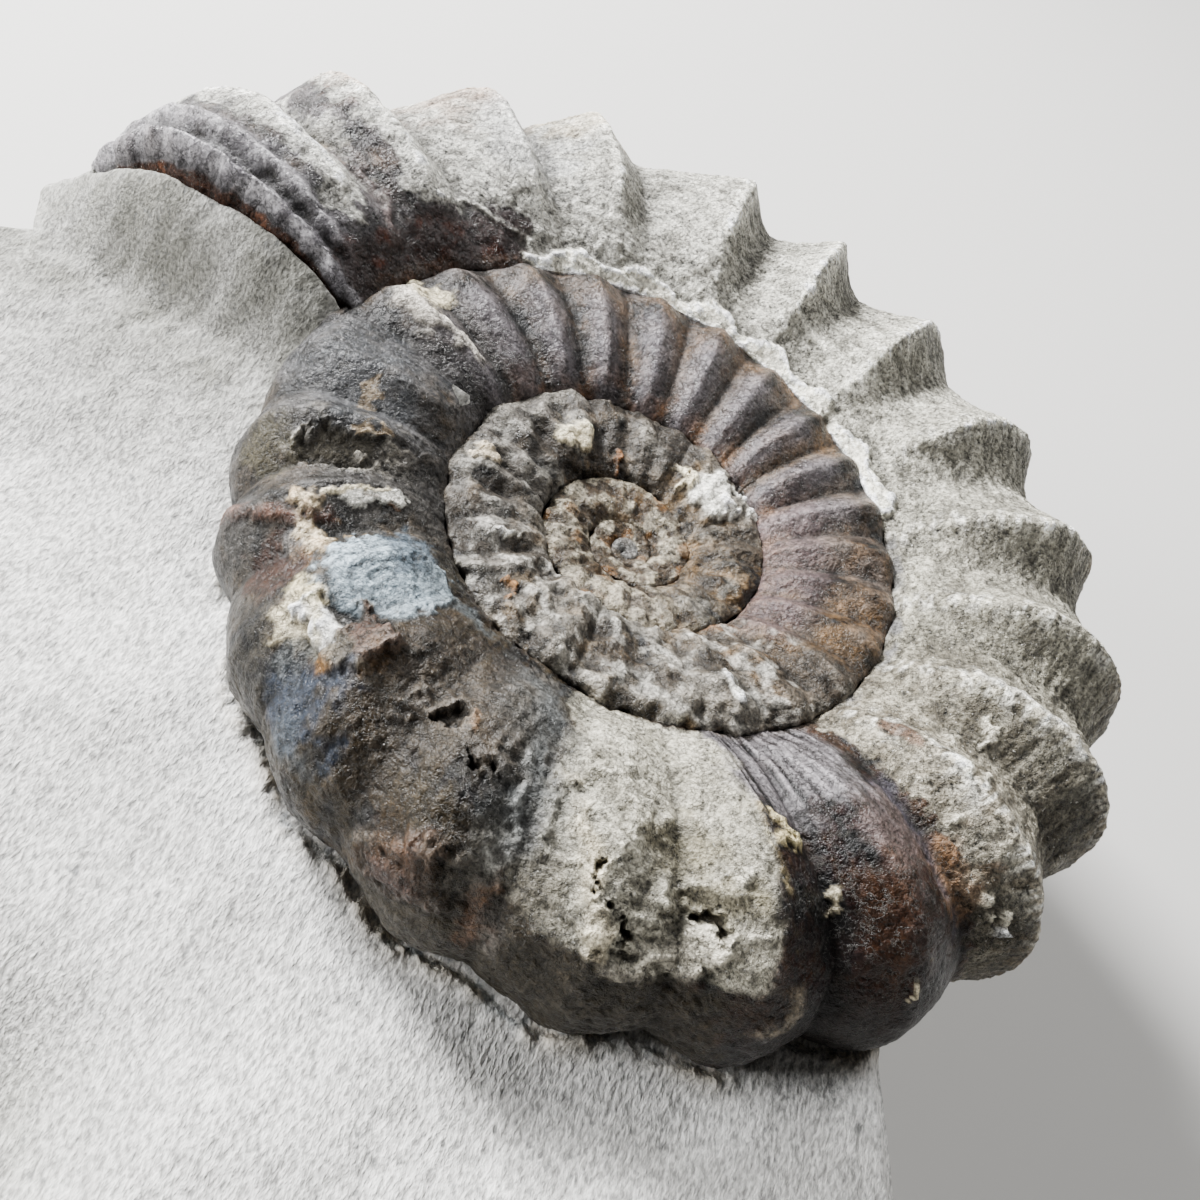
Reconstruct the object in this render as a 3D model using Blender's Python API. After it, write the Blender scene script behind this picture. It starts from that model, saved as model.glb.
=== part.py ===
"""A ribbed fossil ammonite lying half sunk in a block of pale limestone.

Two solids: the fossil shell, and the rock that holds it. The coil's axis is the Z axis, the block's flat
underside is at z = 0, and the shell's mouth faces -Y on the -X side. Units are metres.
"""

import math

import bmesh
import bpy
import numpy as np

MM = 0.001

# Coil. At turn 0 the whorl points along -X, and one turn less is one whorl further in.
MID_PLANE = 25.0 * MM        # height of the coil's plane of symmetry above the underside
VENTER_RADIUS = 41.9 * MM    # axis to rib tips at turn 0
GROWTH = math.log(1.783)     # growth of that radius per turn
GROWTH_TREND = -0.053        # the inner whorls grow a little faster
OVAL = 0.037                 # the coil is pressed slightly oval
OVAL_ANGLE = math.radians(129.5)
MOUTH_TURN = -0.025          # where the last whorl ends
WHORLS = 4                   # turns modelled, from the mouth to the first chamber

# Whorl section, as shares of the venter radius
HALF_HEIGHT = 0.2544
HALF_WIDTH = 0.2366
SEAM_RADIUS = 0.495          # where a whorl meets the one inside it
SEAM_SLOPE = 0.2263          # the seam rises with its radius, so the umbilicus is a shallow bowl
SEAM_SWING = math.radians(160)   # from the venter over the top of the whorl to its inner seam
INNER_BULGE = 0.22           # how far a covered whorl arches up, as a share of its visible width
SHOULDER = math.radians(48)  # where the flank meets the venter
SHAPE_CHANGE = 0.12          # turns over which a covered whorl's section becomes a free one
FIRST_CHAMBER = 1.6          # its height, in heights of the innermost seam

# Ribs: crest directions in degrees round the last whorl, from the mouth inwards
RIB_ANGLES = (160, 147, 130, 116, 97, 82, 65, 46, 27, 8, -11, -28, -45, -60, -77, -95, -112, -128, -146,
              -162, -177)
RIB_DEPTH = 0.062            # as a share of the venter radius
INNER_RIBS = 25              # in one inner whorl
CREST_POWER = ((171, 0.9), (150, 0.95), (125, 1.0), (105, 1.3), (85, 1.8), (0, 1.8), (-30, 1.4), (-42, 0.75),
               (-62, 0.7), (-72, 1.0), (-110, 1.0), (-189, 1.1), (-400, 0.9))   # by degrees; high is pointed
LOWEST_LINE = ((171, 0.5), (150, 0.3), (97, 0.3), (75, 0.38), (-20, 0.4), (-45, 0.5))
                             # by degrees; where the valley lies between this crest and the next one back
SEAM_BLEND = 1.5             # above 1 the ribs reach full height before the shoulder
SHOULDER_WEIGHT, VENTER_WEIGHT, LOWEST_WEIGHT = 1.15, 0.85, 0.35   # shares of the rib depth
INNER_SKEW, INNER_FULLNESS = 1.3, 0.7
WORN_FROM, WORN_TO = -135.0, -70.0   # degrees between which the ribs are worn low
WORN_BLEND = 30.0
WORN_SHARE = 0.5
EMERGING_RIBS = 0.35         # share of the rib depth where the whorl comes out from under the mouth

# Mesh density
STEEP_STEPS = 2              # from a crest down to the valley behind it
GENTLE_STEPS = 4             # and up to the next crest
END_STEPS = 4
FLANK_ROWS = 6
VENTER_ROWS = 6
UNDER_ROWS = 3
INNER_ROWS = (6, 4, 3)       # rows on each covered whorl, outermost first

# Rock
GAP = 0.35 * MM              # between the shell and its pocket
ROCK_LEVEL = -3.5 * MM       # the rock's face, measured from the mid-plane
HUB_LEVEL = -5.0 * MM        # the shell's underside at its axis
RIM_WIDTH = 1.6 * MM
MOAT_DEPTH = 0.7 * MM
OUTLINE = ((22.5, -19.8), (26, -30), (30, -45), (12, -54), (-14, -57), (-41, -47), (-58, -27), (-59, -5),
           (-43, 6.4), (-26, 18.6), (-9, 27), (12, 21), (19, 4))   # corners of the rock's face, in mm
FOOT_SHARE = 0.94            # the underside's outline is this much smaller than the face's
SIDE_LUMPS = 1.3 * MM
FACE_LUMPS = 0.45 * MM
LUMP_LENGTH = 8.0 * MM
HOLLOW_CENTRE = (-15.0 * MM, -42.0 * MM)
HOLLOW_RADIUS = 11.0 * MM
HOLLOW_DEPTH = 3.5 * MM
EDGE_DROP = 1.4 * MM
EDGE_WIDTH = 3.0 * MM
MOUTH_GAP = 0.4 * MM         # the filling of the mouth lies this far under the lip
PLUG_LEVEL = 1.5 * MM        # height of the filling in front of the mouth, at the inner radius
PLUG_INNER = 26.0 * MM
PLUG_SLOPE = -0.12
PLUG_STEEP = 4.5 * MM
PLUG_START = 1.5 * MM
PLUG_REACH = 16.0 * MM       # it slopes down to the face over this length
PLUG_TURN = 0.2
BRINK = 39.0 * MM            # outside this radius the filling falls off
BRINK_LEVEL = 3.5 * MM
BRINK_END = 43.1 * MM
CLIFF = 0.5 * MM
BRINK_TURN = 0.7             # the brink swings in this fast in front of the mouth
BRINK_STRAIGHT = 5.0 * MM
ROCK_RAYS = 88
POCKET_RINGS = 4
FIRST_RING = 0.5             # of the way to the middle of the whorl
WALL_STEP = 0.45 * MM
FACE_RINGS = 5
SIDE_RINGS = 3
MOUTH_RAYS = (math.radians(0.5), math.radians(1.4))   # foot and top of the wall facing the mouth
CLOSEST_RAYS = math.radians(1.2)
OVERHANG_SHARE = 0.86        # where the shell overhangs, the pocket's rings end here


def clear_scene():
    for obj in list(bpy.data.objects):
        bpy.data.objects.remove(obj, do_unlink=True)


def smoothstep(value):
    value = np.clip(value, 0.0, 1.0)
    return value * value * (3.0 - 2.0 * value)


def angle_at(turn):
    return math.pi + 2.0 * math.pi * turn


def venter_radius(turn):
    """Axis to rib tips, by the growth law of the last whorl."""
    grown = math.exp(GROWTH * turn + GROWTH_TREND * turn * turn)
    oval = 1.0 + OVAL * math.cos(2.0 * (angle_at(turn) - OVAL_ANGLE))
    return VENTER_RADIUS * grown * oval


def along_coil(degrees, table):
    """Value of a table of (degrees, value) rows, which run from the mouth backwards."""
    return float(np.interp(-degrees, [-row[0] for row in table], [row[1] for row in table]))


def seam_point(turn):
    """Radius and height of the seam between the whorl at this turn and the one inside it."""
    radius = SEAM_RADIUS * venter_radius(turn)
    return radius, SEAM_SLOPE * radius


def covered_rows(turn, count):
    """The visible top of a covered whorl, from its inner seam to its outer seam."""
    inner, outer = seam_point(turn)[0], seam_point(turn + 1.0)[0]
    swing = np.linspace(0.0, math.pi, count + 1)
    radius = (inner + outer) / 2.0 - (outer - inner) / 2.0 * np.cos(swing)
    height = SEAM_SLOPE * radius + (outer - inner) * INNER_BULGE * np.sin(swing)
    return radius, height


def flank_height(radius_share):
    """Height of a free whorl's inner flank, both as shares of the venter radius."""
    centre = 1.0 - HALF_HEIGHT
    reach = (centre - radius_share) / (centre - SEAM_RADIUS)
    return HALF_WIDTH - (HALF_WIDTH - SEAM_RADIUS * SEAM_SLOPE) * reach * reach


def free_rows(turn):
    """The last whorl's section, from its inner seam over flank and venter to its lowest line."""
    size = venter_radius(turn)
    centre = 1.0 - HALF_HEIGHT
    swing = np.concatenate([
        np.linspace(SEAM_SWING, SHOULDER, FLANK_ROWS + 1),
        np.linspace(SHOULDER, -SHOULDER, VENTER_ROWS + 1)[1:],
        np.linspace(-SHOULDER, -math.pi / 2.0, UNDER_ROWS + 1)[1:],
    ])
    inwards = (centre - SEAM_RADIUS) * np.cos(swing) / -math.cos(SEAM_SWING)
    radius = centre + np.where(swing > math.pi / 2.0, inwards, HALF_HEIGHT * np.cos(swing))
    height = np.where(swing > math.pi / 2.0, flank_height(radius), HALF_WIDTH * np.sin(swing))
    return radius * size, height * size


def emerging_rows(turn):
    """The section where the whorl comes out from under the mouth, with its outer seam still an edge."""
    flank = covered_rows(turn, FLANK_ROWS)
    seam, seam_height = seam_point(turn + 1.0)
    tip = venter_radius(turn)
    swing = np.linspace(math.pi / 2.0, 0.0, VENTER_ROWS // 2 + 1)[1:]
    above = seam + (tip - seam) * np.cos(swing), seam_height * np.sin(swing)
    below = (rows[FLANK_ROWS + VENTER_ROWS // 2 + 1:] for rows in free_rows(turn))
    return tuple(np.concatenate(rows) for rows in zip(flank, above, below))


def freedom(turn):
    """0 where the last whorl comes out from under the mouth, 1 a little further on."""
    return float(smoothstep((turn - (MOUTH_TURN - 1.0)) / SHAPE_CHANGE))


def last_whorl_rows(turn):
    free = freedom(turn)
    return tuple(a * (1.0 - free) + b * free for a, b in zip(emerging_rows(turn), free_rows(turn)))


def crest(turn, share):
    """1 on a rib's crest and 0 in the valley. The share runs from this crest to the next one back."""
    degrees = math.degrees(angle_at(turn))
    lowest = along_coil(degrees, LOWEST_LINE)
    way = share / lowest if share < lowest else (1.0 - share) / (1.0 - lowest)
    return (1.0 - min(way, 1.0)) ** along_coil(degrees, CREST_POWER)


def last_whorl_steps():
    """Each step round the last whorl as (turn, how near to a crest), mouth first."""
    mouth, end = (math.degrees(angle_at(turn)) for turn in (MOUTH_TURN, MOUTH_TURN - 1.0))
    knots = [mouth, *RIB_ANGLES, end]
    steps = []
    for i, (first, second) in enumerate(zip(knots, knots[1:])):
        lowest = along_coil((first + second) / 2.0, LOWEST_LINE)
        shares = [*np.linspace(0.0, lowest, STEEP_STEPS + 1)[:-1],
                  *np.linspace(lowest, 1.0, GENTLE_STEPS + 1)[:-1]]
        at_end = i in (0, len(knots) - 2)
        if at_end:
            shares = [k / END_STEPS for k in range(END_STEPS)]
        for share in shares:
            turn = (first + (second - first) * share - 180.0) / 360.0
            if at_end:
                share = 0.5 * share + (0.5 if i == 0 else 0.0)
            steps.append((turn, crest(turn, share)))
    return steps + [(MOUTH_TURN - 1.0, 0.0)]


def rib_depth(turn):
    """Depth of the valleys, which are shallow where the ribs are worn or the whorl comes out."""
    degrees = math.degrees(angle_at(turn))
    worn = (smoothstep((degrees - WORN_FROM) / WORN_BLEND + 0.5)
            * smoothstep((WORN_TO - degrees) / WORN_BLEND + 0.5))
    covered = float(smoothstep((MOUTH_TURN - 1.0 - turn) / SHAPE_CHANGE))
    emerging = EMERGING_RIBS + (1.0 - EMERGING_RIBS) * (freedom(turn) + covered)
    return RIB_DEPTH * venter_radius(turn) * (1.0 - WORN_SHARE * float(worn)) * emerging


def pressed_in(rows, depth, weights):
    """Moves a section's points inwards along its own normals, by depth times each row's weight."""
    radius, height = rows
    along_r, along_z = np.gradient(radius), np.gradient(height)
    length = np.hypot(along_r, along_z)
    return (radius + along_z / length * depth * weights,
            height - along_r / length * depth * weights)


def last_whorl_weights():
    flank = SHOULDER_WEIGHT * smoothstep(SEAM_BLEND * np.linspace(0.0, 1.0, FLANK_ROWS + 1))
    off_venter = np.abs(np.linspace(-1.0, 1.0, VENTER_ROWS + 1)[1:])
    venter = VENTER_WEIGHT + (SHOULDER_WEIGHT - VENTER_WEIGHT) * off_venter
    under = np.linspace(SHOULDER_WEIGHT, LOWEST_WEIGHT, UNDER_ROWS + 1)[1:]
    return np.concatenate([flank, venter, under])


def covered_weights(count):
    return np.sin(math.pi * np.linspace(0.0, 1.0, count + 1) ** INNER_SKEW).clip(0.0) ** INNER_FULLNESS


def place(turn, rows):
    angle = angle_at(turn)
    return [(r * math.cos(angle), r * math.sin(angle), MID_PLANE + z) for r, z in zip(*rows)]


class Surface:
    """The points and faces of one mesh, gathered as they are made."""

    def __init__(self):
        self.points = []
        self.faces = []

    def add(self, points):
        first = len(self.points)
        self.points.extend(points)
        return list(range(first, len(self.points)))

    def zip_rows(self, left, right):
        """Triangles between two rows of points, which may differ in length or share their ends."""
        i = j = 0
        while i < len(left) - 1 or j < len(right) - 1:
            left_share = (i + 1) / max(len(left) - 1, 1)
            right_share = (j + 1) / max(len(right) - 1, 1)
            if j == len(right) - 1 or (i < len(left) - 1 and left_share <= right_share):
                face = (left[i], right[j], left[i + 1])
                i += 1
            else:
                face = (left[i], right[j], right[j + 1])
                j += 1
            if len(set(face)) == 3:
                self.faces.append(face)

    def fan(self, loop, hub):
        for first, second in zip(loop, loop[1:] + loop[:1]):
            self.faces.append((hub, first, second))

    def to_object(self, name, material):
        mesh = bpy.data.meshes.new(name)
        mesh.from_pydata(self.points, [], self.faces)
        shape = bmesh.new()
        shape.from_mesh(mesh)
        bmesh.ops.recalc_face_normals(shape, faces=shape.faces)
        if shape.calc_volume(signed=True) < 0.0:
            bmesh.ops.reverse_faces(shape, faces=shape.faces)
        shape.to_mesh(mesh)
        shape.free()
        mesh.shade_smooth()
        mesh.materials.append(material)
        obj = bpy.data.objects.new(name, mesh)
        bpy.context.collection.objects.link(obj)
        return obj


def make_material(name, colour, roughness):
    material = bpy.data.materials.new(name)
    material.use_nodes = True
    shader = material.node_tree.nodes["Principled BSDF"]
    shader.inputs["Base Color"].default_value = (*colour, 1.0)
    shader.inputs["Roughness"].default_value = roughness
    shader.inputs["Metallic"].default_value = 0.0
    return material


def add_last_whorl(surface, steps):
    """Rings of points round the free whorl. The last ring takes the mouth's inner corner as its seam."""
    weights = last_whorl_weights()
    rings = []
    for turn, on_crest in steps[:-1]:
        rows = pressed_in(last_whorl_rows(turn), rib_depth(turn) * (1.0 - on_crest), weights)
        rings.append(surface.add(place(turn, rows)))
    turn = steps[-1][0]
    points = place(turn, pressed_in(last_whorl_rows(turn), rib_depth(turn), weights))
    rings.append(surface.add(points[:FLANK_ROWS]) + [rings[0][0]] + surface.add(points[FLANK_ROWS + 1:]))
    for left, right in zip(rings, rings[1:]):
        surface.zip_rows(left, right)
    return rings


def add_covered_whorl(surface, steps, whorl, edge, outer_seam):
    """The visible strip of one inner whorl, between the seam already made and a new one inside it."""
    count = INNER_ROWS[whorl - 1]
    weights = covered_weights(count)
    strips = [edge]
    for (last_turn, _), seam_id in zip(steps[1:], outer_seam[1:]):
        turn = last_turn - whorl
        share = (0.5 + (MOUTH_TURN - 1.0 - turn) * INNER_RIBS) % 1.0
        depth = rib_depth(turn) * (1.0 - crest(turn, share))
        rows = pressed_in(covered_rows(turn, count), depth, weights)
        strips.append(surface.add(place(turn, rows)[:-1]) + [seam_id])
    for left, right in zip(strips, strips[1:]):
        surface.zip_rows(left, right)
    return strips


def build_ammonite(material):
    surface = Surface()
    steps = last_whorl_steps()
    rings = add_last_whorl(surface, steps)
    surface.zip_rows(rings[-1][FLANK_ROWS:], rings[0])
    surface.fan([ring[-1] for ring in rings], surface.add([(0.0, 0.0, MID_PLANE + HUB_LEVEL)])[0])

    edge, seam = rings[-1][:FLANK_ROWS + 1], [ring[0] for ring in rings]
    for whorl in range(1, WHORLS):
        strips = add_covered_whorl(surface, steps, whorl, edge, seam)
        edge, seam = strips[-1], [strip[0] for strip in strips]
    first_chamber = (0.0, 0.0, MID_PLANE + FIRST_CHAMBER * seam_point(MOUTH_TURN - WHORLS)[1])
    surface.fan(seam + edge[1:-1], surface.add([first_chamber])[0])
    return surface.to_object("ammonite", material)


def outline_radius(angle):
    """From the axis to the outline of the rock's face, along one direction."""
    cos, sin = math.cos(angle), math.sin(angle)
    best = 0.0
    for (ax, ay), (bx, by) in zip(OUTLINE, OUTLINE[1:] + OUTLINE[:1]):
        across_a, across_b = ay * cos - ax * sin, by * cos - bx * sin
        if across_a * across_b > 0.0 or across_a == across_b:
            continue
        share = across_a / (across_a - across_b)
        along = (ax + (bx - ax) * share) * cos + (ay + (by - ay) * share) * sin
        best = max(best, along * MM)
    return best


def lumps(a, b, length):
    """A soft uneven surface between about -1 and 1: one broad wave and two smaller ones across it."""
    broad = math.sin(a / length + 1.3) * math.cos(b / length - 0.6)
    middle = math.sin((a + 0.7 * b) / (0.47 * length) + 2.1)
    small = math.cos((1.1 * a - b) / (0.31 * length))
    return 0.55 * broad + 0.30 * middle + 0.20 * small


def turn_over(angle):
    """The turn of the last whorl over a direction."""
    back = (angle_at(MOUTH_TURN) - angle) / (2.0 * math.pi) % 1.0
    return MOUTH_TURN - back


def pocket_level(turn, radius):
    """Height of the pocket under the shell, or None outside it."""
    size = venter_radius(turn)
    centre = (1.0 - HALF_HEIGHT) * size
    half, depth = HALF_HEIGHT * size + GAP, HALF_WIDTH * size + GAP
    if radius <= centre:
        return (HUB_LEVEL - GAP) + (-depth - HUB_LEVEL + GAP) * radius / centre
    across = (radius - centre) / half
    return -depth * math.sqrt(1.0 - across * across) if across < 1.0 else None


def plug_top(angle, radius):
    """Height of the stone that fills the mouth, and how much of it is left this far in front of it."""
    beyond = (angle - angle_at(MOUTH_TURN)) % (2.0 * math.pi)
    if beyond > 2.0 * math.pi * PLUG_TURN:
        return 0.0, 0.0
    size, way = venter_radius(MOUTH_TURN), beyond * radius
    across = min((radius / size - 1.0 + HALF_HEIGHT) / HALF_HEIGHT, 1.0)
    if across > 0.0:
        section = HALF_WIDTH * math.sqrt(1.0 - across * across)
    else:
        section = flank_height(max(radius / size, SEAM_RADIUS))
    in_mouth = size * (section - RIB_DEPTH) - MOUTH_GAP
    plateau = PLUG_LEVEL + PLUG_SLOPE * (radius - PLUG_INNER)
    outwards = radius + BRINK_TURN * min(way, BRINK_STRAIGHT)
    if outwards > BRINK:
        slope = float(np.interp(outwards, [BRINK, BRINK_END, BRINK_END + CLIFF], [BRINK_LEVEL, 0.0, ROCK_LEVEL]))
        in_mouth, plateau = slope, min(plateau, slope)
    top = plateau + (in_mouth - plateau) * (1.0 - float(smoothstep(way / PLUG_STEEP)))
    return top, 1.0 - float(smoothstep((way - PLUG_START) / PLUG_REACH))


def face_level(angle, radius, edge, contact):
    """Height of the rock's face, measured from the mid-plane."""
    x, y = radius * math.cos(angle), radius * math.sin(angle)
    hollow = math.hypot(x - HOLLOW_CENTRE[0], y - HOLLOW_CENTRE[1]) / HOLLOW_RADIUS
    level = ROCK_LEVEL + FACE_LUMPS * lumps(x, y, LUMP_LENGTH)
    level -= HOLLOW_DEPTH * float(1.0 - smoothstep(hollow))
    level -= EDGE_DROP * float(1.0 - smoothstep((edge - radius) / EDGE_WIDTH))
    level -= MOAT_DEPTH * math.exp(-((radius - contact) / RIM_WIDTH) ** 2)
    top, share = plug_top(angle, radius)
    return level + (top - level) * share


def rock_ray(angle, turn):
    """Points along one direction: over the pocket and the face, then down the side."""
    size, edge = venter_radius(turn), outline_radius(angle)
    centre, half = (1.0 - HALF_HEIGHT) * size, HALF_HEIGHT * size + GAP
    level = face_level(angle, size, edge, 0.0)
    drop = min(max(-level / (HALF_WIDTH * size + GAP), 0.0), 1.0)
    swing = np.linspace(math.pi / 2.0, math.asin(drop), POCKET_RINGS + 1)
    radii = [FIRST_RING * centre, *(centre + half * np.cos(swing))]
    squeeze = min(1.0, OVERHANG_SHARE * edge / radii[-1])
    radii = [radius * squeeze for radius in radii]
    contact = radii[-1]
    radii += list(np.linspace(contact + WALL_STEP, edge, FACE_RINGS + 1))
    points = []
    for radius in radii:
        face, pocket = face_level(angle, radius, edge, contact), pocket_level(turn, radius)
        height = face if pocket is None else min(face, pocket)
        points.append((radius, height))
    top = points[-1][1]
    for k in range(1, SIDE_RINGS + 1):
        share = k / SIDE_RINGS
        height = top + (-MID_PLANE - top) * share
        lump = SIDE_LUMPS * lumps(edge * angle, height, LUMP_LENGTH) * math.sin(math.pi * share)
        points.append((edge * (1.0 + (FOOT_SHARE - 1.0) * share) + lump, height))
    return [(r * math.cos(angle), r * math.sin(angle), MID_PLANE + z) for r, z in points]


def rock_directions():
    """Each ray as (angle, turn of the whorl over it), with one on every corner of the outline."""
    mouth = angle_at(MOUTH_TURN)
    foot, top = mouth + MOUTH_RAYS[0], mouth + MOUTH_RAYS[1]
    fixed = [top] + [math.atan2(y, x) % (2.0 * math.pi) for x, y in OUTLINE]
    even = [2.0 * math.pi * k / ROCK_RAYS for k in range(ROCK_RAYS)]
    clear = [angle for angle in even if all(abs(angle - other) > CLOSEST_RAYS for other in fixed + [foot])]
    return sorted([(foot, MOUTH_TURN)] + [(angle, turn_over(angle)) for angle in fixed + clear])


def build_rock(material):
    surface = Surface()
    rays = [surface.add(rock_ray(angle, turn)) for angle, turn in rock_directions()]
    for left, right in zip(rays, rays[1:] + rays[:1]):
        surface.zip_rows(left, right)
    top_hub, foot_hub = surface.add([(0.0, 0.0, MID_PLANE + HUB_LEVEL - GAP), (0.0, 0.0, 0.0)])
    surface.fan([ray[0] for ray in rays], top_hub)
    surface.fan([ray[-1] for ray in rays], foot_hub)
    return surface.to_object("rock", material)


clear_scene()
build_ammonite(make_material("shell", (0.16, 0.13, 0.11), 0.35))
build_rock(make_material("limestone", (0.55, 0.54, 0.51), 0.9))
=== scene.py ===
"""Looks of the fossil ammonite in its block of pale limestone.

The shell is one coiled tube, as it grew. The rock is a height field round the coil's axis. Both are dense
grids that follow the same rules as the solids, with their worn, broken and stained places laid on top.
Each point of the shell also holds a tint, a gloss and a grain, and each point of the rock a tint, which
the materials read. Units are metres, except where mm are named.
"""

import math

import bpy
import numpy as np
from mathutils import Matrix, Vector


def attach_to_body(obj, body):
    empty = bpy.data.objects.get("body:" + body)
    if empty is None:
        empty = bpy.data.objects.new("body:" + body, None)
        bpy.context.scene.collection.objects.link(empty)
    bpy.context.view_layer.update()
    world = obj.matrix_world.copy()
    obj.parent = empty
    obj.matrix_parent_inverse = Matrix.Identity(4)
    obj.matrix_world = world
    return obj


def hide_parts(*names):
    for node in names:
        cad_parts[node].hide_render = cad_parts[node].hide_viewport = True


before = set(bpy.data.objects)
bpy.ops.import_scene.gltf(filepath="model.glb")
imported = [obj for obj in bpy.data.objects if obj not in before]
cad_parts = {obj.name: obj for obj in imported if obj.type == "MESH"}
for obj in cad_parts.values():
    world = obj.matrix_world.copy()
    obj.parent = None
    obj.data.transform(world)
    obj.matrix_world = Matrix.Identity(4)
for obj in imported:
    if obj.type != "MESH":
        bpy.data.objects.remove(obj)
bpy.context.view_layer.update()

MM = 0.001

# Coil, as in the solids, but with the finest whorls too. At turn 0 the whorl points along -X.
MID_PLANE = 25.0 * MM
VENTER_RADIUS = 41.9 * MM
GROWTH = math.log(1.783)
GROWTH_TREND = -0.053
OVAL = 0.037
OVAL_ANGLE = math.radians(129.5)
MOUTH_TURN = -0.025
MOUTH_DEGREES = 171.0
WHORLS = 5.8
INNER_NARROWING = 1.6           # how much closer the rings lie at the centre

# Whorl section, as shares of the venter radius. Swing runs from the inner seam over the venter.
HALF_HEIGHT = 0.2544
HALF_WIDTH = 0.2366
SEAM_SWING = math.radians(160)
SEAM_RADIUS = 0.495             # where a whorl meets the one inside it
SEAM_SLOPE = 0.2263             # the seam rises with its radius
INNER_BULGE = 0.22              # how far a covered whorl arches up, as a share of its visible width
OUTER_SEAM_SWING = math.radians(20)
MID_RADIUS = 0.85               # where lengths along the coil are measured
SHOULDER = math.radians(48)
LOWEST = math.radians(-90)

# Ribs
RIB_ANGLES = (160, 147, 130, 116, 97, 82, 65, 46, 27, 8, -11, -28, -45, -60, -77, -95, -112, -128, -146,
              -162, -177)
RIB_DEPTH = 0.062
CREST_ROUNDING = 0.045          # in rib spacings
INNER_RIBS = 25
WORN_FROM, WORN_TO = -135.0, -70.0
WORN_BLEND = 30.0
WORN_SHARE = 0.5
WORN_INNER = ((-370.0, 60.0), (-850.0, 200.0))   # each takes off a share of the inner ribs' depth
WORN_INNER_SHARE = 0.35
EMERGING_RIBS = 0.85            # of the rib depth, where the last whorl comes out; deeper than in the solids
SHAPE_CHANGE = 0.12

# Rock, as in the solids
ROCK_LEVEL = -3.5 * MM
HUB_LEVEL = -5.0 * MM
PEBBLES = 0.8 * MM              # fine lumps on the sides, only here
OUTLINE = ((22.5, -19.8), (26, -30), (30, -45), (12, -54), (-14, -57), (-41, -47), (-58, -27), (-59, -5),
           (-43, 6.4), (-26, 18.6), (-9, 27), (12, 21), (19, 4))
FOOT_SHARE = 0.94
SIDE_LUMPS = 1.3 * MM
FACE_LUMPS = 0.45 * MM
LUMP_LENGTH = 8.0 * MM
HOLLOW_CENTRE = (-15.0 * MM, -42.0 * MM)
HOLLOW_RADIUS = 11.0 * MM
HOLLOW_DEPTH = 3.5 * MM
EDGE_DROP = 1.4 * MM
EDGE_WIDTH = 3.0 * MM
MOUTH_GAP = 0.4 * MM            # the filling of the mouth lies this far under the lip
PLUG_LEVEL = 1.5 * MM           # height of the filling in front of the mouth
PLUG_INNER = 26.0 * MM
PLUG_SLOPE = -0.12
PLUG_STEEP = 4.5 * MM
PLUG_REACH = 16.0 * MM
PLUG_TURN = 0.2
BRINK = 39.0 * MM               # the filling falls off outside this radius
BRINK_END = 43.1 * MM
BRINK_LEVEL = 3.5 * MM
CLIFF = 0.5 * MM
BRINK_TURN = 0.7                # the brink swings in this fast in front of the mouth
BRINK_STRAIGHT = 5.0 * MM

GRAIN_ANGLE = math.radians(33)
GRAIN_STRETCH = 0.45

# Grids: rings along the coil and rays round the axis, with their points from the seam or the hub outwards
OUTER_RINGS, LIP_RINGS, INNER_RINGS = 1076, 14, 1700
OUTER_FINE, OUTER_COARSE, OUTER_FINE_TO = 168, 36, math.radians(-50)
INNER_FINE, INNER_COARSE, INNER_FINE_TO = 50, 7, math.radians(25)
SEEN_RAYS, HIDDEN_RAYS = 460, 90
HUB_ROWS, FACE_ROWS, SIDE_ROWS = 8, 128, 44

# Camera, at the photograph's viewing angle
CAMERA_DISTANCE = 70.0 * MM
CAMERA_ELEVATION = math.radians(44.62)
CAMERA_YAW = math.radians(0.13)
CAMERA_PITCH = math.radians(47.12)
CAMERA_ROLL = math.radians(26.0)

# Finish of the skin
ABOVE, BELOW = 999.0, -999.0    # slants past either end, for a strip with one edge
LIP_ROLL = 1.2                  # mm
WARP = 1.1 * MM                 # how far the edges of stains and chips wander
TABLE_SIZE = 64
rng = np.random.default_rng(7)
NOISE_TABLE = rng.uniform(-1.0, 1.0, (TABLE_SIZE, TABLE_SIZE, TABLE_SIZE)).astype(np.float32)


def smoothstep(value):
    value = np.clip(value, 0.0, 1.0)
    return value * value * (3.0 - 2.0 * value)


def bell(value, middle, width):
    """1 in the middle, falling to 0 on both sides."""
    return np.exp(-((value - middle) / width) ** 2)


def noise(points, length, seed):
    """Smooth noise between -1 and 1 with features of about this length."""
    place = points / length + np.array([17.3, 5.1, 29.7]) * (seed + 1)
    cell = np.floor(place).astype(np.int64)
    part = (place - cell).astype(np.float32)
    part = part * part * (3.0 - 2.0 * part)
    total = 0.0
    for corner in range(8):
        step = np.array([corner & 1, corner >> 1 & 1, corner >> 2])
        index = (cell + step) % TABLE_SIZE
        share = np.where(step == 1, part, 1.0 - part).prod(axis=-1)
        total = total + share * NOISE_TABLE[index[..., 0], index[..., 1], index[..., 2]]
    return total * 1.6


def layered(points, length, layers, seed, fade=0.5):
    """Noise on several scales, each half as long as the one before."""
    total, weight, whole = 0.0, 1.0, 0.0
    for layer in range(layers):
        total = total + weight * noise(points, length / 2 ** layer, seed + layer)
        whole += weight
        weight *= fade
    return total / whole


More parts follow.
